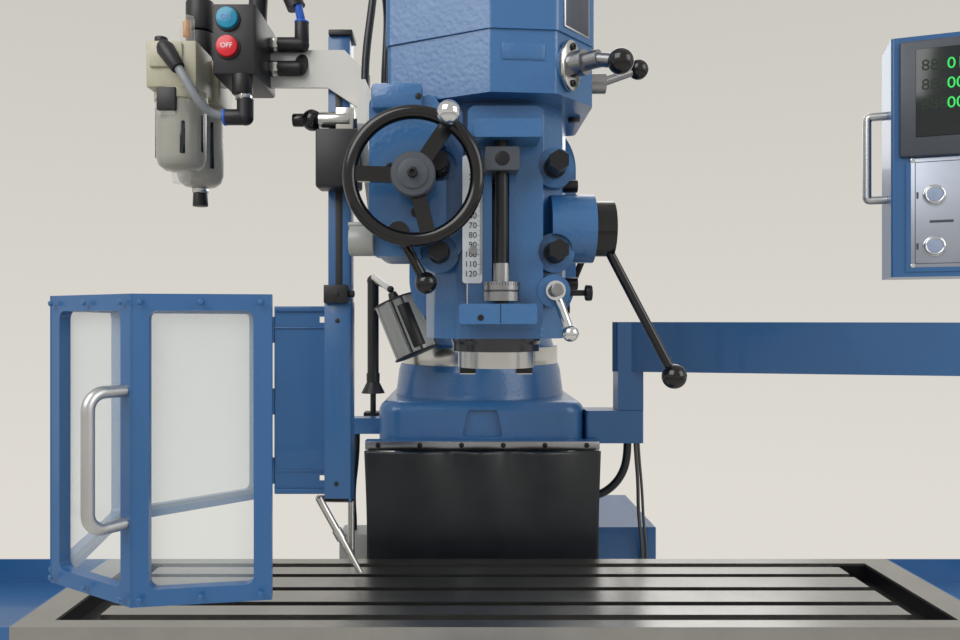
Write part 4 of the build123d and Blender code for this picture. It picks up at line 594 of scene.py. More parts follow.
class MILL_OT_quill_scale(bpy.types.Operator):
    """Figures, graduations and screw of the quill scale"""

    bl_idname = "mill.quill_scale"
    bl_label = "Quill Scale"

    def execute(self, context):
        size = context.scene.mill.numeral_size
        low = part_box("quill_scale")[0]
        face = low.y / MM
        edge_x, half_line = -19.2, 0.16
        marks = []
        for value in range(10, SCALE_LENGTH + 1, 10):
            place = (edge_x - 5.4, face - 0.1, SCALE_ZERO_Z - value)
            marks.append(lettering(str(value), size, place, depth=0.25, centred=False))
        for step in range(SCALE_LENGTH + 1):
            length = 5.0 if step % 10 == 0 else 3.6 if step % 5 == 0 else 2.2
            z = SCALE_ZERO_Z - step
            start = (edge_x - length, face - 0.3, z - half_line)
            marks.append(brick(start, (edge_x, face + 0.3, z + half_line), 0))
        dressed(joined(marks), "quill_scale_figures", "ink", "head", smooth=False)
        screw = socket_screw((-28.6, face, 1447.0), FRONTWARD, 4.2, 3.0)
        dressed(screw, "quill_scale_screw", "steel", "head")
        rod = bar((-29.5, face + 8, 1388), (-29.5, face + 8, low.z / MM + 12), 6)
        dressed(rod, "quill_scale_rod", "turned", "head")
        return {"FINISHED"}


class MILL_OT_way_cover(bpy.types.Operator):
    """Hanging rubber sheet over the column's ways, with soft folds below its strip"""

    bl_idname = "mill.way_cover"
    bl_label = "Way Cover"

    def execute(self, context):
        depth = context.scene.mill.fold_depth * MM
        low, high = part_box("way_cover")
        nothing_selected()
        bpy.ops.mesh.primitive_grid_add(x_subdivisions=90, y_subdivisions=70, size=1)
        sheet = bpy.context.object
        middle, width = (low.x + high.x) / 2, high.x - low.x
        height = high.z - low.z - 2 * SHEET_EDGE_GAP
        back = low.y + SHEET_DEPTH
        for point in sheet.data.vertices:
            across, up = point.co.x, point.co.y + 0.5
            belly = math.sin(up * math.pi)
            fold = math.sin(across * FOLD_COUNT + math.sin(across * 5) * 1.8 + up * 2)
            fade = math.exp((up - 1) * FOLD_FADE)
            out = (fold * fade * 1.1 + belly * 0.495) * depth
            waist = 1 - SHEET_WAIST * belly * abs(across) * 2
            sag = SHEET_SAG * math.sin(across * 11) * up * (1 - up)
            z = low.z + SHEET_EDGE_GAP + up * height + sag
            point.co = (middle + across * width * waist, back - out, z)
        shaped(sheet, "SOLIDIFY", thickness=3.0 * MM, offset=0)
        alone(sheet)
        bpy.ops.object.shade_smooth()
        sheet.name = "way_cover_sheet"
        sheet.data.materials.clear()
        sheet.data.materials.append(MATERIALS["rubber"])
        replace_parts(sheet, "way_cover")
        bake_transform(sheet)
        screws = [bar((x, -161, 1135), (x, -165, 1135), 5, edge=1) for x in range(-200, 240, 80)]
        strip = brick((-224, -163.5, 1124), (224, -161, 1142), 0.6)
        dressed(strip, "cover_clamp_strip", "steel", "base")
        dressed(joined(screws), "cover_strip_screws", "oxide", "base")
        return {"FINISHED"}


READOUT_ROWS = ((324, "0120.455"), (294, "0086.210"), (264, "0054.875"))
READOUT_KNOBS = (("upper_knob", 126), ("lower_knob", 47))
READOUT_KNOB_X = -102
READOUT_SIZE = 24
PANEL_LINES = (
    ((-128, 20), (134, 21)), ((-128, 177), (134, 178)), ((-128, 20), (-127, 178)),
    ((-108, 83), (-76, 87)), ((-126, 121), (-123, 131)), ((-126, 42), (-123, 52)),
)
BOW = (
    (-159, 128), (-176.4, 128), (-188, 128), (-188, 140),
    (-188, 252), (-188, 264), (-176.4, 264), (-159, 264),
)


def on_readout(piece, name, finish, body="dro_box", smooth=True):
    """Turns a piece made square to the machine's front about the readout's centre and dresses it."""
    piece.location = (READOUT_CENTRE.x, READOUT_CENTRE.y, 0)
    piece.rotation_euler = (0, 0, READOUT_TURN)
    return dressed(placed(piece), name, finish, body, smooth)


class MILL_OT_readout(bpy.types.Operator):
    """Readout face: bezel, lit figures, brushed panel, knob rings and screws"""

    bl_idname = "mill.readout"
    bl_label = "Readout Face"

    def execute(self, context):
        base, front = READOUT_CENTRE.z / MM, READOUT_FRONT / MM
        bezel = brick((-149.5, front - 9, base + 185.5), (149.5, front + 0.5, base + 366), 5)
        on_readout(bezel, "readout_bezel", "slate")
        screen = brick((-128, front - 10.2, base + 215), (100, front - 8, base + 351), 3)
        on_readout(screen, "readout_screen", "screen")
        figures, unlit = [], []
        for z, words in READOUT_ROWS:
            figures.append(lettering(words, READOUT_SIZE, (-42, front - 10.3, base + z), depth=0.2))
            unlit.append(lettering("888", READOUT_SIZE, (-103, front - 10.3, base + z), depth=0.2))
        on_readout(joined(figures), "readout_figures", "figures", smooth=False)
        on_readout(joined(unlit), "readout_unlit_figures", "unlit", smooth=False)
        panel = brick((-134, front - 2.2, base + 14), (140, front + 0.3, base + 184), 2)
        on_readout(panel, "readout_panel", "brushed_panel")
        lines = [
            brick((left, front - 2.5, base + low), (right, front - 2.1, base + high), 0)
            for (left, low), (right, high) in PANEL_LINES
        ]
        on_readout(joined(lines), "panel_lines", "slate")
        tube = bent_hose([(x, 0, base + z) for x, z in BOW], 6.6)
        on_readout(tube, "readout_handle_tube", "aluminium")
        trim = []
        x = READOUT_KNOB_X
        for name, up in READOUT_KNOBS:
            z = base + up
            trim.append(ring((x, front - 2.6, z), FRONTWARD, 14.4, 1.4))
            rim = ring((x, front - 7.5, z), FRONTWARD, 12.4, 1.7)
            neck = bar((x, front - 1.5, z), (x, front - 7.5, z), 13.2, 13.6, edge=0.5)
            rim = on_readout(joined([neck, rim]), name + "_rim", "chrome", name)
            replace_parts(rim, name)
            cap = bar((x, front - 5, z), (x, front - 8.4, z), 11.4, edge=0.8)
            on_readout(cap, name + "_cap", "pale_cap", name)
        for x in (-131, 134):
            for up in (17, 181):
                trim.append(socket_screw((x, front - 2.2, base + up), FRONTWARD, 3.2, 1.6))
        on_readout(joined(trim), "readout_rings", "chrome")
        return {"FINISHED"}


def nut_mark(step):
    """One of the graduations round the micrometer nut, longer at every fifth."""
    turn = math.tau * step / NUT_MARKS
    out = Vector((math.cos(turn), math.sin(turn), 0))
    centre = Vector((0, -862, 1411)) + out * 18.45
    radius, height = 0.35, 5.5 if step % 5 == 0 else 3.2
    mark = alone(bar(centre - out * 0.4, centre + out * 0.12, radius, sides=6))
    bpy.ops.object.mode_set(mode="EDIT")
    bpy.ops.mesh.select_all(action="SELECT")
    bpy.ops.transform.resize(value=(1, 1, height / 2 / radius), center_override=centre * MM)
    bpy.ops.object.mode_set(mode="OBJECT")
    return mark


class MILL_OT_head_trim(bpy.types.Operator):
    """Screws, plates, ball ends and graduations of the head, painted shade in its holes, and the turret's
    band
    """

    bl_idname = "mill.head_trim"
    bl_label = "Head Trim"

    def execute(self, context):
        black = [
            socket_screw((70, -786, 1523), (1, 0, 0), 7, 18),
            socket_screw((70, -786, 1415), (1, 0, 0), 7, 18),
            socket_screw((85, -600, 1700), (0, 0, -1), 6, 8),
            bar((62, -815, 1404), (92, -815, 1404), 3.2, edge=0.4),
            bar((92, -815, 1404), (99, -815, 1404), 8.5, edge=1.2),
        ]
        x, z = WHEEL_CENTRE
        for angle in (30, 150, 270):
            turn = math.radians(angle)
            place = (x + 30 * math.cos(turn), -853, z + 30 * math.sin(turn))
            black.append(socket_screw(place, FRONTWARD, 5, 4))
        dressed(joined(black), "head_socket_screws", "oxide", "head")
        rim = brick((-22, -0.6, -8.5), (22, 1, 8.5), 0.5)
        inner = brick((-20.8, -0.9, -7.3), (20.8, 0.4, 7.3), 0.4)
        seat = seated(joined([rim, inner]), (22, -861.4, 1646.5), PROW_TURN)
        dressed(seat, "bare_plate_seat", "casting", "head")
        flange = bar((0, 0.5, 0), (0, -5, 0), 26, sides=64, edge=0.8)
        flange = seated(flange, SHIFT_SEAT, BEVEL_TURN, (0.66, 1, 1))
        dressed(flange, "shift_flange", "turned", "head")
        screws = joined([socket_screw((0, -5, z), FRONTWARD, 3.6, 2.4) for z in (-19, 19)])
        screws = seated(screws, SHIFT_SEAT, BEVEL_TURN)
        dressed(screws, "shift_flange_screws", "oxide", "head")
        plate_rim = seated(brick((-24, -1, -36), (24, 0.5, 36), 0.4), PLATE_SEAT, BEVEL_TURN)
        dressed(plate_rim, "housing_plate_rim", "aluminium", "head")
        plate = seated(brick((-22, -1.4, -34), (22, 0.4, 34), 0.3), PLATE_SEAT, BEVEL_TURN)
        dressed(plate, "housing_plate", "slate", "head")
        ball = globe((115.8, -883.5, 1629), 12.8, 40)
        dressed(ball, "shift_ball", "gloss_black", "hi_lo_lever")
        ball = globe((158, -775, 1656), 11.3, 40)
        dressed(ball, "brake_ball", "gloss_black", "brake_lever")
        screw = socket_screw((55, -873, 1405), FRONTWARD, 6.5, 2)
        dressed(screw, "lock_screw", "steel", "quill_lock")
        barrel = [
            bar((-155, -848, 1456), (-130, -848, 1456), 15.4, edge=1),
            bar((-157, -846, 1473), (-133, -846, 1473), 3, edge=0.4),
        ]
        dressed(joined(barrel), "feed_barrel", "shade_grey", "head")
        lobe = brick((-132, -864, 1588), (-80, -836, 1615), 5)
        dressed(lobe, "casting_lobe", "casting", "head")
        bolt = [
            bar((88, -760, 1616), (88, -760, 1601), 6.8, edge=1),
            bar((88, -760, 1612), (88, -760, 1607), 9.5, sides=6, edge=0.5),
        ]
        dressed(joined(bolt), "housing_bolt", "oxide", "head")
        # Painted shade: flat dark discs on the casting in place of the shade inside two holes, with a thin
        # dark line beside them
        hole_shade = [
            bar((-84, -863.6, 1600.5), (-84, -864.6, 1600.5), 3.3, edge=0.2),
            bar((-21.7, -882.7, 1377.3), (-21.7, -883.6, 1377.3), 3.1, edge=0.2),
            brick((-2.4, -883.3, 1372), (-1.7, -882.7, 1390.5), 0),
        ]
        dressed(joined(hole_shade), "painted_hole_shade", "oxide", "head")
        # Painted shade: a flat dark disc on the stop block's face, in place of the shade inside its bore
        bore_shade = bar((0, -875.7, 1535.5), (0, -876.3, 1535.5), 7.4, edge=0.2)
        dressed(bore_shade, "painted_bore_shade", "oxide", "quill")
        marks = [nut_mark(step) for step in range(NUT_MARKS)]
        dressed(joined(marks), "nut_graduations", "ink", "micrometer_nut", smooth=False)
        keys = [brick((x - 9.4, -740.2, 1312.6), (x + 9.4, -723.8, 1320.5), 0.6) for x in (-33, 33)]
        dressed(joined(keys), "drive_keys", "oxide", "spindle")
        band = bar((0, 80, 1281), (0, 80, 1318), 172.8, sides=128, edge=1)
        dressed(band, "turret_ring_band", "turned", "turret")
        return {"FINISHED"}


class MILL_OT_wheel_trim(bpy.types.Operator):
    """Polished grip, hub disc and centre screw of the feed handwheel"""

    bl_idname = "mill.wheel_trim"
    bl_label = "Feed Handwheel Trim"

    def execute(self, context):
        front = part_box("feed_handwheel")[0].y / MM
        turn, arm = math.radians(56), 62
        x, z = WHEEL_CENTRE
        grip = globe((x + arm * math.cos(turn), front + 11, z + arm * math.sin(turn)), 11.4, 40)
        dressed(grip, "wheel_grip_ball", "chrome", "feed_handwheel")
        profile = [(0.01, 12), (9, 12), (14.5, 11), (14.5, 9.4), (20.5, 9), (21.6, 7.5), (21.6, -2)]
        hub = turned_profile(profile, (x, -896, z), FRONTWARD)
        dressed(hub, "wheel_hub_cap", "slate", "feed_handwheel")
        screw = socket_screw((x, -907, z), FRONTWARD, 5, 7)
        dressed(screw, "wheel_hub_screw", "oxide", "feed_handwheel")
        return {"FINISHED"}


BOWL_X = -440
BOWLS = ((-540, 1586), (-460, 1577))
BOWL_TOP_Z = 1688
BOWL_SLITS = (
    (-540, 196, 1604, 1676, 4.5), (-540, 292, 1606, 1652, 5.5), (-540, 345, 1612, 1664, 4.5),
    (-460, 318, 1602, 1672, 5.5),
)
AIR_HOSE = (
    (-427, -589.5, 1720), (-419, -592, 1708), (-409, -592, 1690), (-399, -588, 1673),
    (-386, -574, 1659), (-366, -568, 1657),
)


def air_bowl(y, low):
    """Smoked bowl with a rounded bottom that hangs under its head."""
    height = BOWL_TOP_Z - low
    profile = [(0.01, 0), (12, 0.4), (23, 2.6), (30.5, 8.5), (34, 19), (34.6, height), (0.01, height + 0.5)]
    bowl = turned_profile(profile, (BOWL_X, y, low), (0, 0, 1), 64)
    return dressed(bowl, f"smoked_bowl_{-y}", "bowl", "ram")


def bowl_slit(y, angle, low, high, radius):
    """Upright dark window in a bowl's wall."""
    turn, out = math.radians(angle), 35.2 - radius
    x, y = BOWL_X + out * math.cos(turn), y + out * math.sin(turn)
    return bar((x, y, low), (x, y, high), radius, sides=24, edge=1.5)


class MILL_OT_air_unit(bpy.types.Operator):
    """Filter and lubricator: heads, smoked bowls, windows, knobs, drains and hose"""

    bl_idname = "mill.air_unit"
    bl_label = "Air Unit"

    def execute(self, context):
        x = BOWL_X
        filter_y, oiler_y = (y for y, _ in BOWLS)
        heads = [
            brick((-477, -575, 1697), (-407, -505, 1762), 3),
            brick((-471, -580, 1724), (-425, -570, 1758), 2),
            brick((-484, -552, 1706), (-476, -528, 1730), 2),
            brick((-477, -495, 1697), (-401, -425, 1762), 3),
            bar((x, -506, 1734), (x, -494, 1734), 16),
            bar((x, filter_y, 1698), (x, filter_y, 1684), 36.5, edge=1),
            bar((x, oiler_y, 1698), (x, oiler_y, 1684), 36.5, edge=1),
        ]
        heads = dressed(joined(heads), "air_heads", "grey_plastic", "ram")
        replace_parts(heads, "air_unit")
        for bowl in BOWLS:
            air_bowl(*bowl)
        slits = joined([bowl_slit(*slit) for slit in BOWL_SLITS])
        dressed(slits, "bowl_windows", "screen", "ram")
        dark = [
            brick((-461, -579, 1664), (-434, -570, 1697), 2.5),
            bar((x, oiler_y, 1762), (x, oiler_y, 1770), 16),
            bar((x, oiler_y, 1769), (x, oiler_y, 1812), 21.4, edge=1),
            bar((x, oiler_y, 1814), (x, oiler_y, 1862), 21.4, edge=4),
            bar((-461, -560, 1761), (-461, -560, 1771), 9, edge=2),
            bar((x, oiler_y, 1570), (x, oiler_y, 1549), 10.5, 11.5, edge=1),
            globe((-447, -583, 1748), 11),
            bar((-447, -583, 1748), (-426, -590, 1718), 12.5, 9.5, edge=1.5),
        ]
        dressed(joined(dark), "air_fittings", "black_plastic", "ram")
        clear = [
            brick((-460, -577.5, 1658), (-435, -570, 1665), 2),
            bar((x, filter_y, 1588), (x, filter_y, 1570), 13.5, 12, edge=1.5),
            bar((-428, -552, 1761), (-428, -552, 1804), 10.4, edge=4),
        ]
        dressed(joined(clear), "clear_caps", "clear_cap", "ram")
        dome = bar((-428, -552, 1774), (-428, -552, 1797), 5.6, edge=1.5)
        dressed(dome, "sight_dome", "amber", "ram")
        nuts = [
            bar((x, oiler_y, 1577.5), (x, oiler_y, 1569), 12.5, sides=6, edge=0.5),
            bar((-326, -497, 1783), (-311, -497, 1783), 12, sides=6, edge=0.5),
            bar((-326, -497, 1748), (-311, -497, 1748), 12, sides=6, edge=0.5),
            bar((-343, -568, 1689), (-343, -568, 1680), 12, sides=6, edge=0.5),
        ]
        dressed(joined(nuts), "fitting_nuts", "turned", "ram")
        dressed(bent_hose(AIR_HOSE, 6), "braided_air_hose", "conduit_grey", "ram")
        return {"FINISHED"}


BUTTONS = (
    ("on_button", "ON", 1791, "cyan", "blue_ring", "cyan_plastic"),
    ("off_button", "OFF", 1752, "red", "white", "red_plastic"),
)
BUTTON_X = -363
ELBOW = (-341, -568, 1657)


class MILL_OT_button_box(bpy.types.Operator):
    """Two-button box with its words, collars, elbows, blue tube and sleeved loop"""

    bl_idname = "mill.button_box"
    bl_label = "Button Box"

    def execute(self, context):
        case = brick((-385, -575, 1714), (-325, -458, 1813), 4)
        dressed(case, "box_case", "black_plastic", "ram")
        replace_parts(case, "button_box")
        dark = []
        x = BUTTON_X
        for node, words, z, finish, ink, slot in BUTTONS:
            dark.append(bar((x, -574, z), (x, -577, z), 17.5, edge=0.8))
            button = bar((x, -573, z), (x, -583, z), 15, sides=64, edge=2)
            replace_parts(dressed(button, node + "_cap", finish, node), node)
            word = lettering(words, 9.5, (x, -583.1, z), depth=0.2)
            dressed(word, node + "_word", ink, node, smooth=False)
        x, y = -277, -497
        dark += [
            bar((-345, -568, 1715), (-345, -568, 1688), 14, edge=1.5),
            bar((-341, -568, 1682), ELBOW, 11.5),
            globe(ELBOW, 11.5),
            bar(ELBOW, (-368, -568, 1657), 11, edge=1),
            bar((-312, y, 1783), (x, y, 1783), 11),
            globe((x, y, 1783), 11),
            bar((x, y, 1783), (x, y, 1815), 10.6, edge=0.8),
            bar((-312, y, 1748), (x - 4, y, 1748), 11),
            globe((x - 4, y, 1748), 11),
            bar((x - 4, y, 1748), (x, y + 18, 1768), 10.6, edge=0.8),
        ]
        dressed(joined(dark), "box_elbows", "black_plastic", "ram")
        loop = [
            (x - 8, y, 1838), (x - 18, y, 1862), (x - 30, y, 1886), (x - 54, y, 1890),
            (x - 66, y + 4, 1868), (x - 68, y + 8, 1812),
        ]
        dressed(bent_hose(loop, 14), "black_sleeve", "black_plastic", "ram")
        blue = [
            ring((x, y, 1816), (0, 0, 1), 9, 2.2),
            bent_hose([(x, y, 1814), (x - 2, y - 6, 1832), (x - 10, y - 4, 1856)], 6.4),
            ring((-369, -568, 1657), (1, 0, 0), 9.4, 2.4),
        ]
        dressed(joined(blue), "blue_tube_and_rings", "tube_blue", "ram")
        red = ring((x + 1, y + 20, 1769), (0.2, 0.7, 0.7), 9, 2.2)
        dressed(red, "red_collar_ring", "red_collar", "ram")
        return {"FINISHED"}


class MILL_OT_rail_trim(bpy.types.Operator):
    """The guard's rail with its strip, cap and switch cover, the channel on it and its knob"""

    bl_idname = "mill.rail_trim"
    bl_label = "Rail Trim"

    def execute(self, context):
        rail = [
            brick((-241, -479.5, 1106), (-208.5, -438, 1803), 0.6),
            brick((-214, -474, 1640), (-189, -444, 1680), 0.6),
        ]
        rail = dressed(joined(rail), "narrow_rail", "sheet", "ram")
        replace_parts(rail, "guard_rail")
        dark = [
            brick((-230, -480, 1114), (-219.5, -475, 1774), 0.3),
            brick((-253, -521, 1568), (-189, -479.5, 1654), 4),
            brick((-240, -485, 1802.5), (-204, -437, 1811), 1.5),
            bar((-222, -462, 1809), (-222, -462, 1816), 11, edge=2),
        ]
        dressed(joined(dark), "rail_black_trim", "black_plastic", "ram")
        silver = [
            bar((-252, -494, 1672), (-205, -494, 1672), 12, edge=0.8),
            brick((-226, -503, 1652), (-200, -479, 1689), 1.2),
        ]
        dressed(joined(silver), "rail_clamp_sleeve", "turned", "ram")
        low, top = 1109, 1396
        sheet = [
            brick((-327, -459, low), (-258, -456, top), 0),
            brick((-258, -459, 1380), (-243, -456, top), 0),
            brick((-258, -459, 1137), (-243, -456, 1371), 0),
            brick((-258, -459, low), (-243, -456, 1129), 0),
            brick((-326, -461.5, 1362), (-244, -458.5, 1364), 0.5),
            brick((-326, -463, 1388), (-244, -458.5, 1396), 1),
            brick((-326, -461, 1143), (-244, -458.5, 1145), 0.5),
            brick((-326, -463, low), (-244, -458.5, 1117), 1),
            brick((-244.5, -493, low), (-205.5, -490, 1402), 0.8),
            brick((-244.5, -492, low), (-242, -456, 1402), 0.4),
            brick((-208, -492, 1103), (-205.5, -450, 1402), 0.4),
        ]
        for z in (1124, 1230, 1340):
            sheet.append(bar((-336, -457.5, z), (-336, -457.5, z + 40), 7))
            sheet.append(brick((-336, -459, z), (-326, -456, z + 40), 0))
        plate = dressed(joined(sheet), "guard_channel", "sheet", "guard_slider")
        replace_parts(plate, "guard_plate")
        clamp = [
            brick((-244, -503, 1400), (-209, -481, 1427), 1.5),
            bar((-210, -489, 1414), (-200, -489, 1414), 5, edge=1.5),
            bar((-226, -502.5, 1414), (-226, -504, 1414), 5, edge=0.4),
            bar((-225, -492.5, 1374), (-225, -494.2, 1374), 3.4, edge=0.5),
            bar((-226.5, -492.5, 1131), (-226.5, -494.2, 1131), 3.4, edge=0.5),
        ]
        dressed(joined(clamp), "channel_clamp", "black_plastic", "guard_slider")
        knob = [globe((-262, -494, 1672), 16, 40), bar((-291, -494, 1672), (-272, -494, 1672), 9.8, edge=2)]
        knob = dressed(joined(knob), "round_rail_knob", "gloss_black", "rail_knob")
        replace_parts(knob, "rail_knob")
        return {"FINISHED"}


THICKER_CABLE = (
    (307, -98, 1136), (308, -98, 1112), (315, -90, 1050), (319, -74, 985),
    (332, -54, 900), (333, -50, 855), (333, -36, 835),
)
THINNER_CABLE = (
    (314, -96, 1136), (315, -96, 1108), (324, -86, 1035), (331, -68, 965),
    (341, -54, 905), (340, -50, 862), (340, -36, 842),
)


class MILL_OT_wiring(bpy.types.Operator):
    """Two thin cables from the readout bracket down to the cabinet, and the junction box's cover"""

    bl_idname = "mill.wiring"
    bl_label = "Thin Wiring"

    def execute(self, context):
        cables = [bent_hose(THICKER_CABLE, 3.4), bent_hose(THINNER_CABLE, 2.8)]
        dressed(joined(cables), "thin_cables", "grey_cable", "base")
        cover = brick((-285, -96, 884), (-180, -24.5, 945.8), 1.5)
        dressed(cover, "junction_cover", "shade_grey", "base")
        return {"FINISHED"}


class MILL_OT_troughs(bpy.types.Operator):
    """Painted shade: dark sheets on the floors and walls of the table's end troughs, where shade falls in
    the deep channels
    """

    bl_idname = "mill.troughs"
    bl_label = "Table Troughs"

    def execute(self, context):
        front, rear, floor, top = -548.4, -294.6, 922.1, 947.0
        thick = 0.8
        # Painted shade: thin dark sheets laid in the deep troughs, where the shade falls
        trough_shade_sheets = []
        for inner, outer in ((609.2, 663.9), (-561.2, -615.9)):
            wall = outer - math.copysign(thick, outer)
            low, high = min(inner, outer), max(inner, outer)
            trough_shade_sheets.append(brick((low, front, floor), (high, rear, floor + 0.9), 0))
            trough_shade_sheets.append(brick((min(wall, outer), front, floor), (max(wall, outer), rear, top), 0))
            trough_shade_sheets.append(brick((low, rear - thick, floor), (high, rear, top), 0))
        dressed(joined(trough_shade_sheets), "painted_trough_shade", "oxide", "table")
        return {"FINISHED"}


FLUTE_PITCH = 45
FLUTE_RIB = 9
FLUTE_DEPTH = 2.4


class MILL_OT_lamp(bpy.types.Operator):
    """Fluted round lamp shade with its dark top, rim and side window, painted shade lines along its flutes,
    and the lamp's rod
    """

    bl_idname = "mill.lamp"
    bl_label = "Lamp Shade"

    def execute(self, context):
        top, low = Vector((-171, -112, 1412)), Vector((-128, -122, 1309))
        along = (low - top).normalized()
        shade = bar(top + along, low - along, 44, sides=72)
        bpy.ops.object.mode_set(mode="EDIT")
        bpy.ops.mesh.select_all(action="DESELECT")
        bpy.ops.object.mode_set(mode="OBJECT")
        middle = (top + low) / 2 * MM
        across = along.cross(Vector((0, 0, 1))).normalized()
        beside = across.cross(along)
        for face in shade.data.polygons:
            out = face.center - middle
            if abs(face.normal.dot(along)) < 0.5:
                turn = math.degrees(math.atan2(out.dot(across), out.dot(beside)))
                face.select = turn % FLUTE_PITCH > FLUTE_RIB
        bpy.ops.object.mode_set(mode="EDIT")
        bpy.ops.mesh.inset(thickness=1.0 * MM, depth=-FLUTE_DEPTH * MM, use_even_offset=True)
        bpy.ops.object.mode_set(mode="OBJECT")
        dressed(shade, "fluted_shade", "shade_grey", "lamp_head")
        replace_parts(shade, "lamp_head")
        caps = [
            bar(top - along * 2, top + along * 1.5, 44.5, sides=72, edge=0.8),
            bar(low - along * 2, low + along * 1, 45.6, 44.6, sides=72, edge=0.8),
            bar(top - along * 19, top - along * 1, 8, 12, edge=0.8),
        ]
        lean = Vector((0.42, -1, 0.1)).dot(along)
        toward = (Vector((0.36, -1, 0.1)) - along * lean).normalized()
        seat = toward * 31.5
        window = bar(top + along * 16 + seat, low - along * 8 + seat, 15, sides=40, edge=1)
        # Painted shade: thin dark strips along the fluted shade, darkening it between its flutes
        for angle in (-150, -118, -86, -54, -2, 26, 150):
            turn = math.radians(angle)
            side = (toward * math.cos(turn) + along.cross(toward) * math.sin(turn)) * 43
            caps.append(bar(top + along * 2 + side, low - along * 2 + side, 1.9, sides=12))
        caps = joined([*caps, window])
        dressed(caps, "lamp_caps_window_and_painted_flute_shade", "black_plastic", "lamp_head")
        rod = bar((-225, -14, 1465.5), (-182, -102, 1436.5), 6.4, edge=0.8)
        dressed(rod, "lamp_rod", "cream", "lamp_arm")
        return {"FINISHED"}


class MILL_OT_guard_trim(bpy.types.Operator):
    """Pane screws of the swing guard"""

    bl_idname = "mill.guard_trim"
    bl_label = "Guard Trim"

    def execute(self, context):
        plan = [Vector((*point, 0)) for point in GUARD_PLAN]
        screws = []
        for start, end in zip(plan, plan[1:]):
            along = (end - start).normalized()
            out = Vector((along.y, -along.x, 0))
            if max(out.x, out.y, key=abs) > 0:
                out = -out
            for share in (0.07, 0.5, 0.93):
                for z in (1111, 1392):
                    place = start.lerp(end, share) + Vector((0, 0, z))
                    head = (place + out * 4.5, place + out * 7.2)
                    screws.append(bar(*head, 3.2, 2.4, sides=20, edge=0.5))
        dressed(joined(screws), "pane_screws", "sheet", "guard")
        return {"FINISHED"}


class MILL_OT_cords(bpy.types.Operator):
    """Hanging cable, hose and conduit, drawn as round lines"""

    bl_idname = "mill.cords"
    bl_label = "Cords"

    def execute(self, context):
        for name, points, radius, finish, body, lay in CORDS:
            piece = drawn_line(name + "_line", points, radius, rounding=6, steps=16)
            piece.data.materials.append(MATERIALS[finish])
            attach(piece, body)
            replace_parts(piece, name)
        return {"FINISHED"}


STUDIO_LIGHTS = (
    ("key_light", (-1.6, -2.6, 3.4), 62, 2.2),
    ("fill_light", (2.6, -2.2, 2.6), 34, 2.0),
    ("rear_light", (0.6, 2.4, 3.2), 30, 2.4),
)
LIGHT_TARGET = Vector((0, -0.4, 1.3))
EYE = (-0.041, -1.64, 1.375)
LENS = 28.9
SENSOR_WIDTH = 36
SHIFT_PIXELS = 19
PHOTO_WIDTH_PIXELS = 960


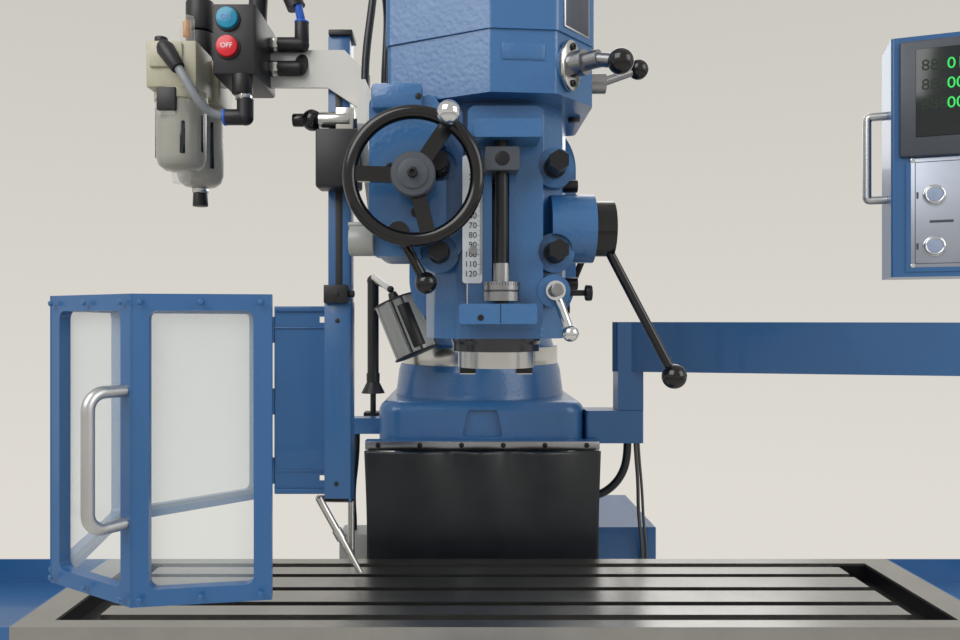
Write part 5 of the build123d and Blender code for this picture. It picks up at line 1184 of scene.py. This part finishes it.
class MILL_OT_stage(bpy.types.Operator):
    """Plain floor, a backdrop with painted shade towards its top, soft lights and the camera at the
    photograph's angle
    """

    bl_idname = "mill.stage"
    bl_label = "Studio"

    def execute(self, context):
        settings = context.scene.mill
        nothing_selected()
        bpy.ops.mesh.primitive_plane_add(size=1, location=(0, -2.3, -0.001))
        floor = bpy.context.object
        floor.scale = (14, 9.4, 1)
        floor.name = "studio_floor"
        made, _, shader, _ = new_material("pale_floor", Roughness=0.7)
        shader.inputs["Base Color"].default_value = (*settings.floor_colour, 1)
        floor.data.materials.append(made)
        placed(floor)
        world = bpy.data.worlds.new("studio")
        context.scene.world = world
        world.use_nodes = True
        tree = world.node_tree
        light = tree.nodes["Background"]
        light.inputs["Color"].default_value = linear("#d9dcdf")
        light.inputs["Strength"].default_value = 0.75 * settings.light_power
        # Backdrop seen by the camera and in reflections, with painted shade: lighter low down and darker
        # towards the top
        seen = add_node(tree, "ShaderNodeBackground", {"Strength": 1.0})
        ray = add_node(tree, "ShaderNodeTexCoord").outputs["Generated"]
        up = add_node(tree, "ShaderNodeSeparateXYZ", None, {0: ray})
        rise = spread(tree, up.outputs["Z"], 0, 1)
        rise.node.inputs["From Min"].default_value = -0.2
        rise.node.inputs["From Max"].default_value = 0.4
        tree.links.new(seen.inputs["Color"], mixed(tree, rise, "#dfdbd3", "#cbc8c1"))
        rays = add_node(tree, "ShaderNodeLightPath")
        seen_by = rays.outputs["Is Camera Ray"]
        for name in ("Is Glossy Ray", "Is Transmission Ray"):
            sources = {0: seen_by, 1: rays.outputs[name]}
            seen_by = add_node(tree, "ShaderNodeMath", {"operation": "MAXIMUM"}, sources).outputs[0]
        shaders = {"Fac": seen_by, 1: light.outputs[0], 2: seen.outputs[0]}
        mix = add_node(tree, "ShaderNodeMixShader", None, shaders)
        tree.links.new(tree.nodes["World Output"].inputs[0], mix.outputs[0])
        for name, place, power, size in STUDIO_LIGHTS:
            lamp = bpy.data.lights.new(name, "AREA")
            lamp.energy = power * settings.light_power
            lamp.size = size
            holder = bpy.data.objects.new(name, lamp)
            context.collection.objects.link(holder)
            holder.location = place
            toward = LIGHT_TARGET - holder.location
            holder.rotation_euler = toward.to_track_quat("-Z", "Y").to_euler()
        camera = bpy.data.cameras.new("photo_camera")
        camera.lens = LENS
        camera.sensor_width = SENSOR_WIDTH
        camera.shift_x = SHIFT_PIXELS / PHOTO_WIDTH_PIXELS
        eye = bpy.data.objects.new("photo_camera", camera)
        context.collection.objects.link(eye)
        eye.location = EYE
        eye.rotation_euler = (math.radians(90), 0, 0)
        context.scene.camera = eye
        context.scene.view_settings.view_transform = "Standard"
        return {"FINISHED"}


class MILL_PT_panel(bpy.types.Panel):
    """Sidebar panel with the sizes, the colours and the steps"""

    bl_label = "Turret Mill"
    bl_idname = "MILL_PT_panel"
    bl_space_type = "VIEW_3D"
    bl_region_type = "UI"
    bl_category = "Mill"

    def draw(self, context):
        for name in MillSettings.__annotations__:
            self.layout.prop(context.scene.mill, name)
        for step in STEPS:
            self.layout.operator(step.bl_idname)


STEPS = (
    MILL_OT_paint,
    MILL_OT_quill_scale,
    MILL_OT_way_cover,
    MILL_OT_readout,
    MILL_OT_head_trim,
    MILL_OT_wheel_trim,
    MILL_OT_air_unit,
    MILL_OT_button_box,
    MILL_OT_rail_trim,
    MILL_OT_lamp,
    MILL_OT_wiring,
    MILL_OT_troughs,
    MILL_OT_guard_trim,
    MILL_OT_cords,
    MILL_OT_stage,
)


def register():
    for kind in (MillSettings, *STEPS, MILL_PT_panel):
        bpy.utils.register_class(kind)
    bpy.types.Scene.mill = bpy.props.PointerProperty(type=MillSettings)


def unregister():
    del bpy.types.Scene.mill
    for kind in (MILL_PT_panel, *reversed(STEPS), MillSettings):
        bpy.utils.unregister_class(kind)


def main():
    """Registers the add-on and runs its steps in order."""
    register()
    for step in STEPS:
        getattr(bpy.ops.mill, step.bl_idname.split(".")[1])()


if __name__ == "__main__":
    main()
